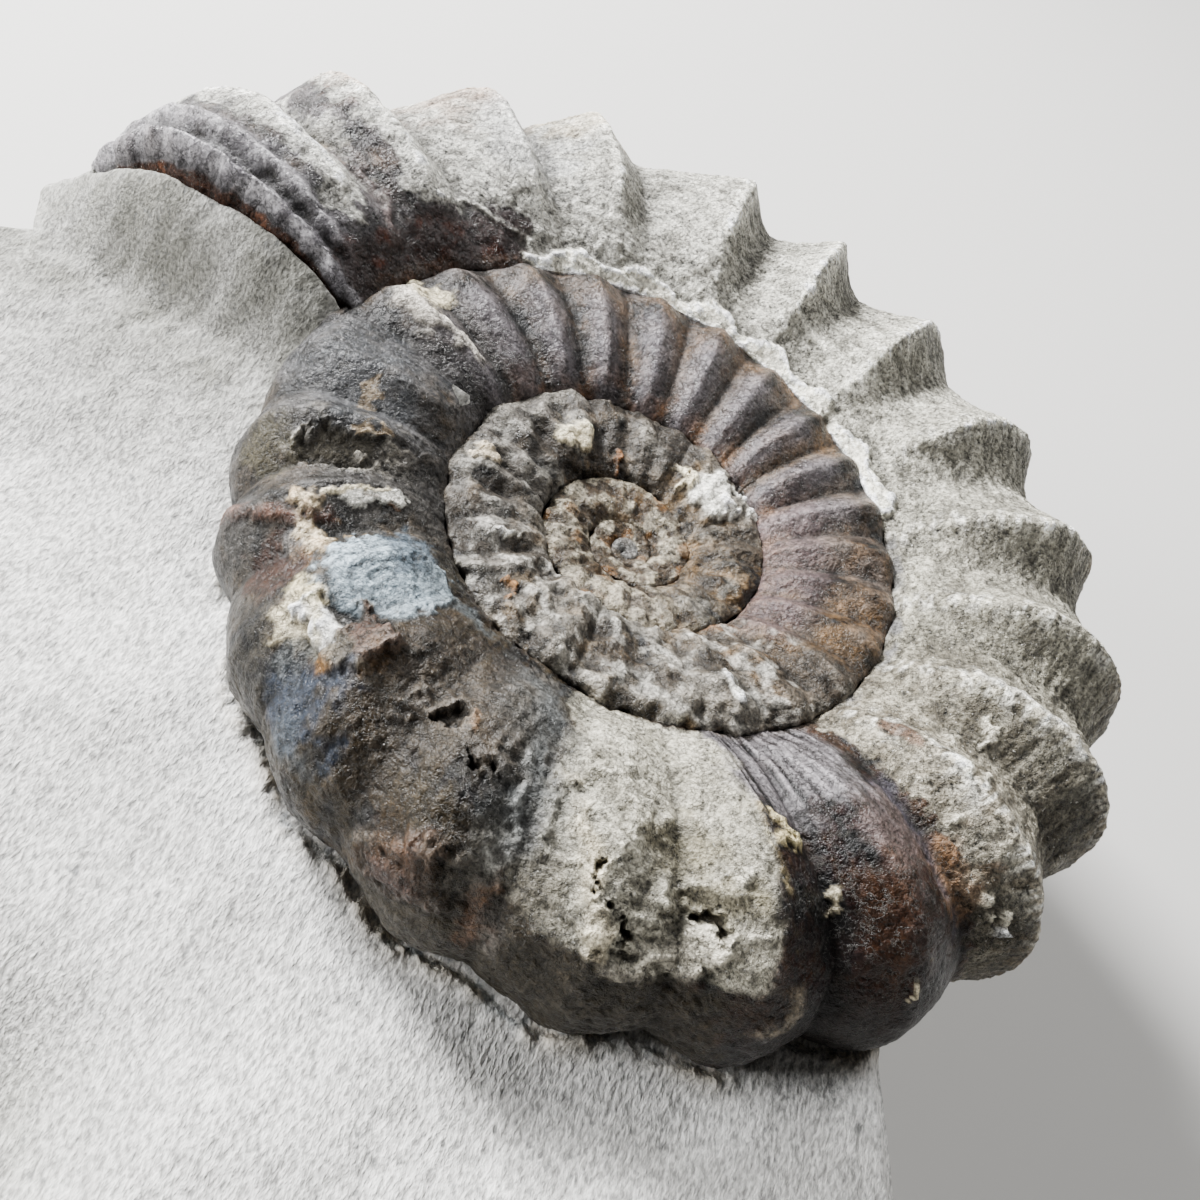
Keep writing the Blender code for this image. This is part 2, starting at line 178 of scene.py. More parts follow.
def ridged(points, length, layers, seed):
    """Sharp winding ridges, 1 on a ridge and about 0 between."""
    total, weight, whole = 0.0, 1.0, 0.0
    for layer in range(layers):
        total = total + weight * (1.0 - np.abs(noise(points, length / 2 ** layer, seed + layer)))
        whole += weight
        weight *= 0.5
    return np.clip(2.0 * total / whole - 1.0, 0.0, 1.0)


def softened(field, passes):
    """The field of a tube's grid with its fine detail averaged away."""
    for _ in range(passes):
        edge = np.concatenate([field[:1], field, field[-1:]])
        field = 0.5 * field + 0.25 * (edge[2:] + edge[:-2])
        field = 0.5 * field + 0.25 * (np.roll(field, 1, 1) + np.roll(field, -1, 1))
    return field


def angle_at(turn):
    return math.pi + 2.0 * math.pi * turn


def turn_at(degrees):
    return (degrees - 180.0) / 360.0


def venter_radius(turn):
    grown = np.exp(GROWTH * turn + GROWTH_TREND * turn * turn)
    return VENTER_RADIUS * grown * (1.0 + OVAL * np.cos(2.0 * (angle_at(turn) - OVAL_ANGLE)))


def rib_phase(turn):
    """Counts ribs back from the mouth, with a whole number on each crest."""
    last = MOUTH_TURN - 1.0
    mouth_degrees = math.degrees(angle_at(MOUTH_TURN))
    knots = np.array([mouth_degrees, *RIB_ANGLES, mouth_degrees - 360.0])
    phases = np.array([0.5, *range(1, len(RIB_ANGLES) + 1), len(RIB_ANGLES) + 0.5])
    on_last = np.interp(-np.degrees(angle_at(turn)), -knots, phases)
    return np.where(turn >= last, on_last, phases[-1] + (last - turn) * INNER_RIBS)


# Along the coil: how hollow the flanks of the ribs are, and where in a spacing the valley lies
RIB_POWER = ((171, 0.9), (150, 0.95), (125, 1.0), (105, 1.3), (85, 1.8), (0, 1.8), (-30, 1.4), (-42, 0.75),
             (-62, 0.7), (-72, 1.0), (-110, 1.0), (-189, 1.1), (-400, 0.9))
RIB_VALLEY = ((171, 0.5), (150, 0.3), (97, 0.3), (75, 0.38), (-20, 0.4), (-45, 0.5))


def along_coil(degrees, table):
    """Values of a table of (degrees, value) rows, which may be colours, at each of these degrees."""
    stops = [-row[0] for row in table]
    values = np.array([row[1] for row in table], dtype=float)
    if values.ndim == 1:
        return np.interp(-degrees, stops, values)
    return np.stack([np.interp(-degrees, stops, values[:, k]) for k in range(values.shape[1])], axis=-1)


def covered_share(turn):
    """1 on the covered whorls, falling to 0 where the last whorl has come out from under the mouth."""
    return 1.0 - smoothstep((turn - (MOUTH_TURN - 1.0)) / SHAPE_CHANGE)


def free_section(swing):
    """Radius and height of the last whorl's section, as shares of its venter radius."""
    cos, sin = np.cos(swing), np.sin(swing)
    centre = 1.0 - HALF_HEIGHT
    reach = -cos / -math.cos(SEAM_SWING)
    back = (-math.pi - swing) / (math.pi - SEAM_SWING)
    seam_height = SEAM_RADIUS * SEAM_SLOPE
    radius = np.select([swing > math.pi / 2.0, swing < -math.pi],
                       [centre - (centre - SEAM_RADIUS) * reach,
                        centre - HALF_HEIGHT + (SEAM_RADIUS - centre + HALF_HEIGHT) * back],
                       centre + HALF_HEIGHT * cos)
    height = np.select([swing > math.pi / 2.0, swing < -math.pi],
                       [HALF_WIDTH - (HALF_WIDTH - seam_height) * reach * reach, seam_height * back],
                       HALF_WIDTH * sin)
    return radius, height


def covered_section(swing, turn):
    """The same for a covered whorl, which spans the way from its inner to its outer seam."""
    outer = SEAM_RADIUS * venter_radius(turn + 1.0) / venter_radius(turn)
    arch = math.pi * (SEAM_SWING - swing) / (SEAM_SWING - OUTER_SEAM_SWING)
    radius = (SEAM_RADIUS + outer) / 2.0 - (outer - SEAM_RADIUS) / 2.0 * np.cos(arch)
    height = SEAM_SLOPE * radius + (outer - SEAM_RADIUS) * INNER_BULGE * np.sin(arch)
    fall = 0.5 * math.pi * swing / OUTER_SEAM_SWING
    lower = free_section(swing)
    where = [swing > OUTER_SEAM_SWING, swing > 0.0]
    return (np.select(where, [radius, outer + (1.0 - outer) * np.cos(fall)], lower[0]),
            np.select(where, [height, SEAM_SLOPE * outer * np.sin(fall)], lower[1]))


def section(swing, turn):
    covered = covered_share(turn)
    free, hidden = free_section(swing), covered_section(swing, turn)
    return tuple(a * (1.0 - covered) + b * covered for a, b in zip(free, hidden))


def rib_weight(swing, covered=0.0):
    """Share of the rib depth on each line of the section."""
    flank = 1.15 * smoothstep(1.5 * (SEAM_SWING - swing) / (SEAM_SWING - SHOULDER))
    venter = 0.85 + 0.30 * np.abs(swing) / SHOULDER
    under = 1.15 - 0.8 * (-SHOULDER - swing) / (-SHOULDER - LOWEST)
    lowest = 0.35 * smoothstep((swing - 2.0 * LOWEST) / -LOWEST)
    free = np.select([swing > SHOULDER, swing > -SHOULDER, swing > LOWEST], [flank, venter, under], lowest)
    across = np.clip((SEAM_SWING - swing) / (SEAM_SWING - OUTER_SEAM_SWING), 0.0, 1.0)
    inner = np.sin(math.pi * across ** 1.3) ** 0.7
    return free * (1.0 - covered) + inner * covered


def rib_valley(turn, wander):
    """0 on a rib's crest and 1 in mid-valley."""
    degrees = np.degrees(angle_at(turn))
    share = (rib_phase(turn) + wander) % 1.0
    lowest = along_coil(degrees, RIB_VALLEY)
    near = 0.5 * np.where(share < lowest, share / lowest, (1.0 - share) / (1.0 - lowest))
    near = np.sqrt(near * near + CREST_ROUNDING ** 2) - CREST_ROUNDING
    return 1.0 - (1.0 - np.minimum(2.0 * near, 1.0)) ** along_coil(degrees, RIB_POWER)


def rib_relief(turn, swing, wander=0.0):
    """How far the surface lies under the rib tips."""
    degrees = np.degrees(angle_at(turn))
    worn = (smoothstep((degrees - WORN_FROM) / WORN_BLEND + 0.5)
            * smoothstep((WORN_TO - degrees) / WORN_BLEND + 0.5))
    last = MOUTH_TURN - 1.0
    freedom = smoothstep((turn - last) / SHAPE_CHANGE)
    covered = smoothstep((last - turn) / SHAPE_CHANGE)
    emerging = EMERGING_RIBS + (1.0 - EMERGING_RIBS) * (freedom + covered)
    young = 1.0 - WORN_INNER_SHARE * sum(smoothstep((start - degrees) / reach) for start, reach in WORN_INNER)
    depth = RIB_DEPTH * venter_radius(turn) * (1.0 - WORN_SHARE * worn) * emerging * young
    return depth * rib_valley(turn, wander) * rib_weight(swing, covered_share(turn))


def blend(first, second, share):
    share = np.clip(share, 0.0, 1.0)
    if np.ndim(first) > np.ndim(share) or np.ndim(second) > np.ndim(share) or np.shape(first) == (3,):
        share = share[..., None]
    return np.asarray(first) * (1.0 - share) + np.asarray(second) * share


class Skin:
    """A grid of points over part of the coil, one row per turn and one column per swing.

    Degrees run backwards from the mouth, at 171, round each whorl in turn. Slant is the swing in degrees:
    160 at the inner seam, 90 on top of the whorl, 0 on the venter. Places and sizes are given in mm.
    """

    def __init__(self, turns, swings):
        self.turn, self.swing = np.meshgrid(turns, swings, indexing="ij")
        self.degrees = np.degrees(angle_at(self.turn))
        self.slant = np.degrees(self.swing)
        self.size = venter_radius(self.turn)
        self.base, self.along, self.across, self.normal = self.frame_at(self.turn, self.swing)
        steps = np.diff(angle_at(turns)) * MID_RADIUS * venter_radius(turns)[1:]
        travel = np.concatenate([[0.0], np.cumsum(steps)])
        self.flow = np.stack([np.broadcast_to(travel[:, None], self.turn.shape),
                              0.25 * self.size * self.swing, 0.0 * self.turn], axis=-1)
        self.ragged = [layered(self.base, 1.4 * MM, 4, seed=60 + 4 * k, fade=0.65) for k in range(4)]
        self.drift = WARP * np.stack(self.ragged[:3], axis=-1)
        self.lift = np.zeros_like(self.turn)
        self.slide = np.zeros_like(self.turn)
        self.tint = np.zeros(self.turn.shape + (3,))
        self.gloss = np.zeros_like(self.turn)
        self.grain = np.zeros_like(self.turn)

    @staticmethod
    def frame_at(turn, swing):
        """A place on the smooth coil, and the directions along, across and out of the surface there."""
        angle, size = angle_at(turn), venter_radius(turn)
        outward = np.stack([np.cos(angle), np.sin(angle), 0.0 * angle], axis=-1)
        along = np.stack([-np.sin(angle), np.cos(angle), 0.0 * angle], axis=-1)
        up = np.array([0.0, 0.0, 1.0])
        radius, height = section(swing, turn)
        step = 0.01
        after, before = section(swing - step, turn), section(swing + step, turn)
        step_r, step_z = after[0] - before[0], after[1] - before[1]
        length = np.hypot(step_r, step_z)
        across = outward * (step_r / length)[..., None] + up * (step_z / length)[..., None]
        base = outward * (radius * size)[..., None] + up * (MID_PLANE + height * size)[..., None]
        return base, along, across, np.cross(across, along)

    def points(self):
        return self.base + self.normal * self.lift[..., None] + self.along * self.slide[..., None]

    def near(self, degrees, slant, tilt=0.0, wander=1.0):
        """How far each point lies from a place, in mm: along the coil towards the mouth, and outwards."""
        turn, swing = np.array(turn_at(degrees)), np.array(math.radians(slant))
        origin, along, across, normal = self.frame_at(turn, swing)
        offset = (self.base + wander * self.drift - origin) / MM
        u, v, w = offset @ along, offset @ across, offset @ normal
        far = np.where((np.abs(w) > 4.0) | (np.abs(self.degrees - degrees) > 90.0), 1000.0, 0.0)
        cos, sin = math.cos(math.radians(tilt)), math.sin(math.radians(tilt))
        return u * cos + v * sin + far, v * cos - u * sin + far

    def oval(self, degrees, slant, length, width, tilt=0.0, ragged=0.25, seed=0, wander=1.0):
        """0 in the middle of a ragged oval, 1 on its edge. Length runs along the coil, width across."""
        u, v = self.near(degrees, slant, tilt, wander)
        return np.hypot(2.0 * u / length, 2.0 * v / width) + ragged * self.ragged[seed % 4]

    def patch(self, degrees, slant, length, width, tilt=0.0, ragged=0.35, soft=0.25, seed=0, wander=1.0):
        reach = self.oval(degrees, slant, length, width, tilt, ragged, seed, wander)
        return 1.0 - smoothstep((reach - 1.0) / soft + 0.5)

    def band(self, first, last, soft=1.0, ragged=1.5, seed=0):
        """1 between two directions, given as degrees from the mouth backwards, with ragged edges."""
        degrees = self.degrees + ragged * self.ragged[seed % 4]
        return smoothstep((first - degrees) / soft + 0.5) * smoothstep((degrees - last) / soft + 0.5)

    def strip(self, inner, outer, soft=3.0, ragged=4.0, seed=0):
        """1 between two slants, given from the inner seam outwards, with ragged edges."""
        slant = self.slant + ragged * self.ragged[seed % 4]
        return smoothstep((inner - slant) / soft + 0.5) * smoothstep((slant - outer) / soft + 0.5)

    def line(self, places, width, wobble=0.15, seed=0):
        """1 along a line through places given as (degrees, slant), about as wide as stated in mm."""
        best = np.full(self.turn.shape, 1000.0)
        for (deg_a, slant_a), (deg_b, slant_b) in zip(places, places[1:]):
            turn = turn_at(np.array([deg_a, deg_b]))
            ends = self.frame_at(turn, np.radians(np.array([slant_a, slant_b], dtype=float)))[0] / MM
            run = ends[1] - ends[0]
            offset = (self.base + 0.5 * self.drift) / MM - ends[0]
            share = np.clip(offset @ run / (run @ run), 0.0, 1.0)
            best = np.minimum(best, np.linalg.norm(offset - share[..., None] * run, axis=-1))
        best = best + wobble * self.ragged[seed % 4]
        return 1.0 - smoothstep(best / width)

    def paint(self, colour, mask, gloss=None, grain=None):
        mask = np.clip(mask, 0.0, 1.0)
        self.tint += (np.asarray(colour) - self.tint) * mask[..., None]
        if gloss is not None:
            self.gloss += (gloss - self.gloss) * mask
        if grain is not None:
            self.grain += (grain - self.grain) * mask

    def islands(self, start, contrast, seed):
        """1 and 0 in ragged islands. A higher start leaves more of them at 1."""
        return smoothstep(start + contrast * self.ragged[seed])

    def paint_oval(self, colour, share, place, size, gloss=None, grain=None, **shape):
        """Paints a ragged oval. A place is (degrees, slant), a size (length, width)."""
        self.paint(colour, share * self.patch(*place, *size, **shape), gloss, grain)

    def trace(self, colour, share, places, width, wobble, seed=0, height=0.0, gloss=None, grain=None):
        """Raises a line by a height in mm, or sinks it, and paints it."""
        mask = self.line(places, width, wobble, seed)
        self.lift += height * MM * mask
        self.paint(colour, share * mask, gloss, grain)

    def dent(self, place, size, depth, rim=0.0, tilt=0.0, seed=0, ragged=0.3):
        """Sinks a ragged oval pit and returns its mask. Depth and rim are in mm."""
        reach = self.oval(*place, *size, tilt, ragged, seed)
        inside = 1.0 - smoothstep((reach - 0.55) / 0.6)
        self.lift += MM * (rim * bell(reach, 1.15, 0.2) - depth * inside)
        return inside

    def mound(self, place, size, height, tilt=0.0, ragged=0.3, seed=0, edge=1.0):
        """Raises a ragged oval lump and returns its mask. A small edge gives it steep sides."""
        inside = 1.0 - smoothstep((self.oval(*place, *size, tilt, ragged, seed) - 1.0) / edge + 1.0)
        self.lift += height * MM * inside
        return inside


def grid_normals(points):
    first = np.gradient(points, axis=0)
    second = np.concatenate([points[:, -1:], points, points[:, :1]], axis=1)
    second = second[:, 2:] - second[:, :-2]
    normals = np.cross(second, first)
    return normals / np.maximum(np.linalg.norm(normals, axis=-1, keepdims=True), 1e-12)


def add_mesh(name, points, faces, normals, fields, material):
    """Makes a mesh object. Faces is a list of arrays of quads or triangles, fields a dict of values."""
    mesh = bpy.data.meshes.new(name)
    sizes = np.concatenate([np.full(len(block), block.shape[1]) for block in faces])
    corners = np.concatenate([block.ravel() for block in faces])
    mesh.vertices.add(len(points))
    mesh.vertices.foreach_set("co", points.ravel().astype(np.float32))
    mesh.loops.add(len(corners))
    mesh.loops.foreach_set("vertex_index", corners.astype(np.int32))
    mesh.polygons.add(len(sizes))
    mesh.polygons.foreach_set("loop_start", (np.cumsum(sizes) - sizes).astype(np.int32))
    mesh.update(calc_edges=True)
    mesh.validate()
    mesh.shade_smooth()
    for field, values in fields.items():
        if values.ndim == 2:
            layer = mesh.attributes.new(field, "FLOAT_COLOR", "POINT")
            layer.data.foreach_set("color", np.column_stack([values, np.ones(len(values))]).ravel())
        else:
            layer = mesh.attributes.new(field, "FLOAT", "POINT")
            layer.data.foreach_set("value", values.ravel())
    if normals is not None:
        mesh.normals_split_custom_set_from_vertices(normals)
    mesh.materials.append(material)
    piece = bpy.data.objects.new(name, mesh)
    bpy.context.collection.objects.link(piece)
    return piece


def grid_faces(rows, columns, closed):
    """Quads of a grid whose points are numbered row by row."""
    row = np.arange(rows - 1)[:, None] * columns
    column = np.arange(columns if closed else columns - 1)[None, :]
    after = (column + 1) % columns
    quads = np.stack([row + column, row + after, row + columns + after, row + columns + column], axis=-1)
    return quads.reshape(-1, 4)


def add_tube(name, skin, first, last, material, normals):
    """Rings first to last of a skin as one closed tube."""
    points = skin.points()[first:last + 1]
    rows, columns = points.shape[:2]
    ends = np.stack([points[0].mean(axis=0), points[-1].mean(axis=0)])
    ring = np.arange(columns)
    after = (ring + 1) % columns
    top = (rows - 1) * columns
    start = np.column_stack([np.full(columns, rows * columns), after, ring])
    end = np.column_stack([np.full(columns, rows * columns + 1), top + ring, top + after])
    fields = {}
    for key, values in (("tint", skin.tint), ("gloss", skin.gloss), ("grain", skin.grain)):
        part = values[first:last + 1].reshape(rows * columns, -1)
        part = np.concatenate([part, part[:1], part[-1:]])
        fields[key] = part if part.shape[1] == 3 else part[:, 0]
    caps = np.stack([-skin.along[first, 0], skin.along[last, 0]])
    normals = np.concatenate([normals[first:last + 1].reshape(-1, 3), caps])
    return add_mesh(name, np.concatenate([points.reshape(-1, 3), ends]),
                    [grid_faces(rows, columns, True), start, end], normals, fields, material)


def section_swings(fine, coarse, fine_to):
    """Swings round a section, fine from the inner seam to fine_to and coarse on the hidden rest."""
    top = np.linspace(SEAM_SWING, fine_to, fine)
    rest = np.linspace(fine_to, SEAM_SWING - 2.0 * math.pi, coarse + 2)[1:-1]
    return np.concatenate([top, rest])


def terraces(field, count, sharpness=0.1):
    """Turns a smooth field into flat plates with steep edges, 0 to 1."""
    level = np.clip(0.5 + 0.5 * field, 0.0, 0.999) * count
    part = level - np.floor(level)
    return (np.floor(level) + smoothstep((part - 0.5) / sharpness + 0.5)) / count


# Colours along the coil, in degrees from the mouth backwards, then single colours
STONE_DARK = ((171, (0.30, 0.29, 0.26)), (70, (0.25, 0.24, 0.20)), (30, (0.19, 0.18, 0.145)),
              (0, (0.125, 0.115, 0.088)), (-28, (0.10, 0.085, 0.060)), (-66, (0.20, 0.185, 0.14)),
              (-88, (0.16, 0.148, 0.115)))
STONE_PALE = ((171, (0.66, 0.65, 0.60)), (70, (0.58, 0.56, 0.48)), (30, (0.46, 0.44, 0.36)),
              (0, (0.34, 0.32, 0.25)), (-28, (0.34, 0.31, 0.24)), (-66, (0.52, 0.49, 0.40)),
              (-88, (0.46, 0.44, 0.36)))
SHELL = ((171, (0.15, 0.145, 0.165)), (163, (0.10, 0.092, 0.095)), (145, (0.045, 0.036, 0.036)),
         (-33, (0.050, 0.030, 0.019)), (-40, (0.018, 0.009, 0.006)), (-64, (0.018, 0.010, 0.006)),
         (-72, (0.028, 0.021, 0.012)), (-108, (0.024, 0.018, 0.010)), (-125, (0.032, 0.027, 0.019)),
         (-145, (0.046, 0.043, 0.040)), (-189, (0.066, 0.062, 0.061)), (-225, (0.085, 0.072, 0.065)),
         (-260, (0.085, 0.066, 0.056)), (-300, (0.075, 0.058, 0.044)), (-345, (0.085, 0.066, 0.054)),
         (-400, (0.080, 0.065, 0.048)), (-440, (0.13, 0.115, 0.092)), (-500, (0.13, 0.12, 0.105)),
         (-560, (0.11, 0.10, 0.088)), (-640, (0.12, 0.105, 0.085)), (-760, (0.12, 0.095, 0.065)),
         (-900, (0.13, 0.10, 0.065)), (-1300, (0.12, 0.105, 0.085)))
WARMER = np.array([0.45, 0.08, -0.35])
CALCITE = (0.80, 0.78, 0.70)
CREAM = (0.66, 0.58, 0.40)
TAN = (0.50, 0.36, 0.20)
RUST = (0.17, 0.078, 0.030)
AMBER = (0.16, 0.075, 0.022)
BLUE_GREY = (0.24, 0.30, 0.34)
DEEP_BLUE = (0.018, 0.026, 0.042)
NACRE = (0.13, 0.12, 0.125)
SOOT = (0.018, 0.015, 0.012)
RIB_TIPS = ((110, (0.30, 0.22, 0.14)), (0, (0.20, 0.15, 0.09)), (-40, (0.12, 0.08, 0.045)))

# Colours of the rock
ROCK_PALE = (0.64, 0.63, 0.605)
ROCK_BRIGHT = (0.74, 0.735, 0.72)
ROCK_SIDE = (0.46, 0.45, 0.42)
# Grey of the hollow: partly the rock's own tone, partly painted shade
HOLLOW_GREY_AND_SHADE = (0.33, 0.325, 0.29)
# Olive-grey of the filling: partly its own tone, partly painted shade
FILLING_GREY_AND_SHADE = (0.20, 0.197, 0.172)
CONTACT_BROWN = (0.40, 0.34, 0.25)
CONTACT_BLUE = (0.20, 0.225, 0.24)
# A painted shadow line where the rock meets the shell
CONTACT_SHADOW = (0.14, 0.13, 0.11)

# Lumps, crumbs and stains: degrees, slant, size and, where it differs, height, both in mm
LAST_RIB_CRUMBS = ((-27, 96, 1.3), (-30, 104, 1.0), (-24, 88, 0.9), (-33, 80, 1.1), (-30, 70, 0.9),
                   (-22, 108, 0.8), (-33, 48, 1.1), (-31, 38, 1.2), (-16, 100, 1.0))
RED_RIB_CRUMBS = ((-57.0, 97, 0.7), (-57.5, 92, 0.9), (-57.0, 88, 0.7), (-59.0, 86, 0.5))
BOTTOM_LUMPS = ((-76, 84, 3.5), (-71, 95, 3.0), (-66, 70, 3.2), (-80, 100, 2.6), (-70, 60, 2.8))
LEFT_LUMPS = ((-103.5, 82, 2.6, 0.25), (-99.0, 86, 2.2, 0.25), (-97.0, 78, 2.4, 0.2),
              (-94.0, 82, 2.0, 0.25), (-93.0, 75, 1.6, 0.2), (-106.0, 76, 2.2, 0.2))
LEFT_STAINS = ((-108, 52, 3.5), (-104, 40, 3.0), (-112, 66, 2.6), (-92, 34, 3.0), (-84, 42, 3.2))

# Lumps on the older whorls: (degrees, slant), (length, width) in mm, colour
LIME_LUMPS = (((-196, 72), (2.2, 5.0), (0.46, 0.42, 0.36)), ((-203, 60), (3.0, 3.4), CREAM),
              ((-199, 100), (1.4, 3.0), (0.5, 0.46, 0.40)), ((-575, 98), (1.9, 2.4), CREAM),
              ((-660, 92), (3.6, 3.2), CALCITE), ((-645, 108), (1.6, 1.4), CREAM),
              ((-672, 74), (2.4, 2.2), (0.84, 0.82, 0.74)), ((-500, 92), (0.9, 2.2), CALCITE),
              ((-476, 70), (1.0, 1.2), AMBER), ((-533, 70), (1.4, 1.6), (0.48, 0.40, 0.28)),
              ((-412, 70), (1.0, 1.8), CALCITE), ((-600, 120), (1.6, 1.2), RUST))


def stone_mask(skin):
    """1 where the shell is gone and the stony filling shows."""
    first_rib = skin.band(163.0, 153.5, 1.0, 2.5) * skin.strip(126, 22, 5.0, 14.0, 1)
    top = skin.band(150.0, 131.0, 1.0, 2.0, 1) * skin.strip(129, -80, 3.0, 6.0, 2)
    right = skin.band(132.0, -34.0, 1.0, 3.0, 2)
    bottom = skin.band(-59.5, -84.0, 2.0, 2.0, 3) * skin.strip(150, 34, 5.0, 8.0, 0)
    return np.clip(first_rib + top + right + bottom, 0.0, 1.0)


def lay_ground(skin):
    """Shell and stone over the whole skin, before the single places."""
    stone = stone_mask(skin)
    inner = smoothstep((-189.0 - skin.degrees) / 20.0 + 0.5)
    worn = skin.band(-62.0, -118.0, 12.0, 8.0, 1) + inner * smoothstep((-380.0 - skin.degrees) / 60.0 + 0.5)
    scale = np.clip(skin.size / VENTER_RADIUS, 0.12, 1.0) ** 0.7
    streaks = layered(skin.flow * (0.35, 1.0, 1.0), 0.5 * MM, 3, seed=45, fade=0.7)
    growth = layered(skin.flow * (1.0, 0.12, 1.0), 0.5 * MM, 3, seed=48, fade=0.7)
    broad = layered(skin.base, 4.0 * MM, 3, seed=3)
    grit = layered(skin.base, 0.6 * MM, 3, seed=12, fade=0.8)
    creases = ridged(skin.base, 2.4 * MM, 4, seed=17) ** 3
    plates = terraces(1.4 * layered(skin.base, 3.5 * MM, 4, seed=80, fade=0.55), 6, 0.15)
    skin.lift += 0.25 * MM * scale * broad
    skin.lift += stone * MM * (0.10 * grit + 0.07 * streaks - 0.08 * creases)
    shell = (1.0 - stone) * MM * scale
    skin.lift += shell * (0.05 * growth + 0.05 * grit - 0.12 * creases + 0.24 * plates)
    skin.lift += shell * worn * (0.08 * grit - 0.16 * creases + 0.30 * plates)

    mottle = layered(skin.base, 1.8 * MM, 5, seed=40, fade=0.8)
    share = np.clip(0.5 + 1.1 * mottle + 0.5 * streaks, 0.0, 1.0)
    skin.paint(blend(along_coil(skin.degrees, STONE_DARK), along_coil(skin.degrees, STONE_PALE), share),
               np.ones_like(skin.lift), gloss=0.35, grain=1.0)
    tint = along_coil(skin.degrees, SHELL) * (0.62 + 1.1 * mottle + 0.5 * growth)[..., None]
    warmth = layered(skin.base, 3.2 * MM, 4, seed=50, fade=0.7) * (1.0 + 0.4 * inner)
    tint = tint * (1.0 + np.clip(warmth, 0.0, 1.0)[..., None] * WARMER)
    skin.paint(np.clip(tint, 0.006, 1.0), 1.0 - stone, gloss=0.75, grain=0.5)


def finish_mouth(skin):
    """The lip: two glossy lilac ridges, the outer one rolled over, on a thin red-brown broken edge."""
    way = np.radians(MOUTH_DEGREES - skin.degrees) * MID_RADIUS * skin.size / MM
    ridge = bell(skin.degrees, 169.6, 1.2) + 0.8 * bell(skin.degrees, 166.2, 1.1)
    outside = smoothstep((skin.slant + 60.0) / 40.0)
    skin.lift += 0.9 * MM * ridge * outside * rib_weight(skin.swing)
    roll = 1.0 - np.sqrt(1.0 - np.clip(1.0 - way / LIP_ROLL, 0.0, 1.0) ** 2)
    skin.lift -= LIP_ROLL * MM * roll * outside
    groove = skin.line([(167.9, 20), (168.2, 75), (167.8, 110), (166.8, 138)], 0.6, 0.05)
    skin.lift -= 0.22 * MM * groove
    skin.paint(SOOT, 0.7 * groove, gloss=0.3)
    skin.trace(SOOT, 0.8, [(168.4, 106), (170.8, 110)], 0.3, 0.1, height=-0.25)
    lilac = skin.band(175.0, 165.0, 0.5, 1.0) * outside
    wear_and_highlight = np.clip(0.6 + 1.4 * skin.ragged[3], 0.0, 1.0)
    skin.paint(blend((0.060, 0.055, 0.060), (0.25, 0.24, 0.25), wear_and_highlight), 0.9 * lilac * (1.0 - groove),
               gloss=0.85, grain=0.2)
    edge = smoothstep((roll - 0.45 + 0.15 * skin.ragged[1]) / 0.15)
    skin.paint((0.060, 0.028, 0.018), edge, gloss=0.4, grain=0.8)
    skin.paint((0.16, 0.060, 0.028), 0.8 * edge * skin.islands(0.0, 2.0, 0), grain=0.8)
    skin.slide -= 0.5 * MM * smoothstep((skin.degrees - 168.0) / 3.0) * (0.5 + 0.9 * skin.ragged[3])


def finish_top(skin):
    """The pale ribs after the mouth, the vein and shell edge on them and the dark shell along the seam."""
    venter = skin.band(164.5, 153.0, 1.0, 2.0) * skin.strip(34, BELOW, 12.0, -16.0, 1)
    skin.paint((0.13, 0.12, 0.115), 0.8 * venter, gloss=0.5, grain=0.4)
    skin.trace(CALCITE, 1.0, [(160.6, 88), (161.4, 105), (161.8, 122), (161.0, 134)], 0.32, 0.12,
               height=0.10, gloss=0.3, grain=0.3)
    skin.trace((0.13, 0.10, 0.095), 1.0, [(158.6, 60), (157.2, 85), (155.2, 108), (154.6, 126), (156.0, 140)],
               0.75, 0.25, 1, height=0.28, gloss=0.7, grain=0.3)
    skin.trace(SOOT, 0.6, [(153.4, 60), (153.2, 95), (152.6, 126)], 0.5, 0.25, 2)
    skin.trace(TAN, 0.55 * skin.islands(0.5, 2.0, 0), [(156.6, 78), (154.8, 100), (153.6, 120)], 0.5, 0.3, 3)
    seam_shell = skin.band(168.0, 132.0, 1.0, 2.0, 1) * skin.strip(ABOVE, 134, 4.0, 5.0, 2)
    skin.paint((0.040, 0.028, 0.026), 0.85 * seam_shell, gloss=0.75, grain=0.2)
    skin.paint((0.060, 0.020, 0.012), seam_shell * skin.islands(-0.1, 1.8, 0), gloss=0.8)
    skin.trace(CALCITE, 0.6, [(147.0, 127), (140.5, 127), (136.5, 136), (132.5, 144)], 0.35, 0.1, height=0.20)
    tints = skin.patch(133, 60, 8, 9, ragged=0.8, soft=0.8, seed=1)
    tints = tints + skin.patch(146, 70, 4, 6, soft=0.8, seed=2)
    skin.paint((0.33, 0.20, 0.13), 0.5 * tints)
    skin.paint_oval((0.42, 0.33, 0.20), 0.4, (119, 62), (6, 8), ragged=0.8, soft=0.8, seed=3)
    skin.paint_oval((0.47, 0.47, 0.46), 0.6, (128, 95), (7, 8), gloss=0.4, grain=0.5, ragged=0.5, soft=0.6)


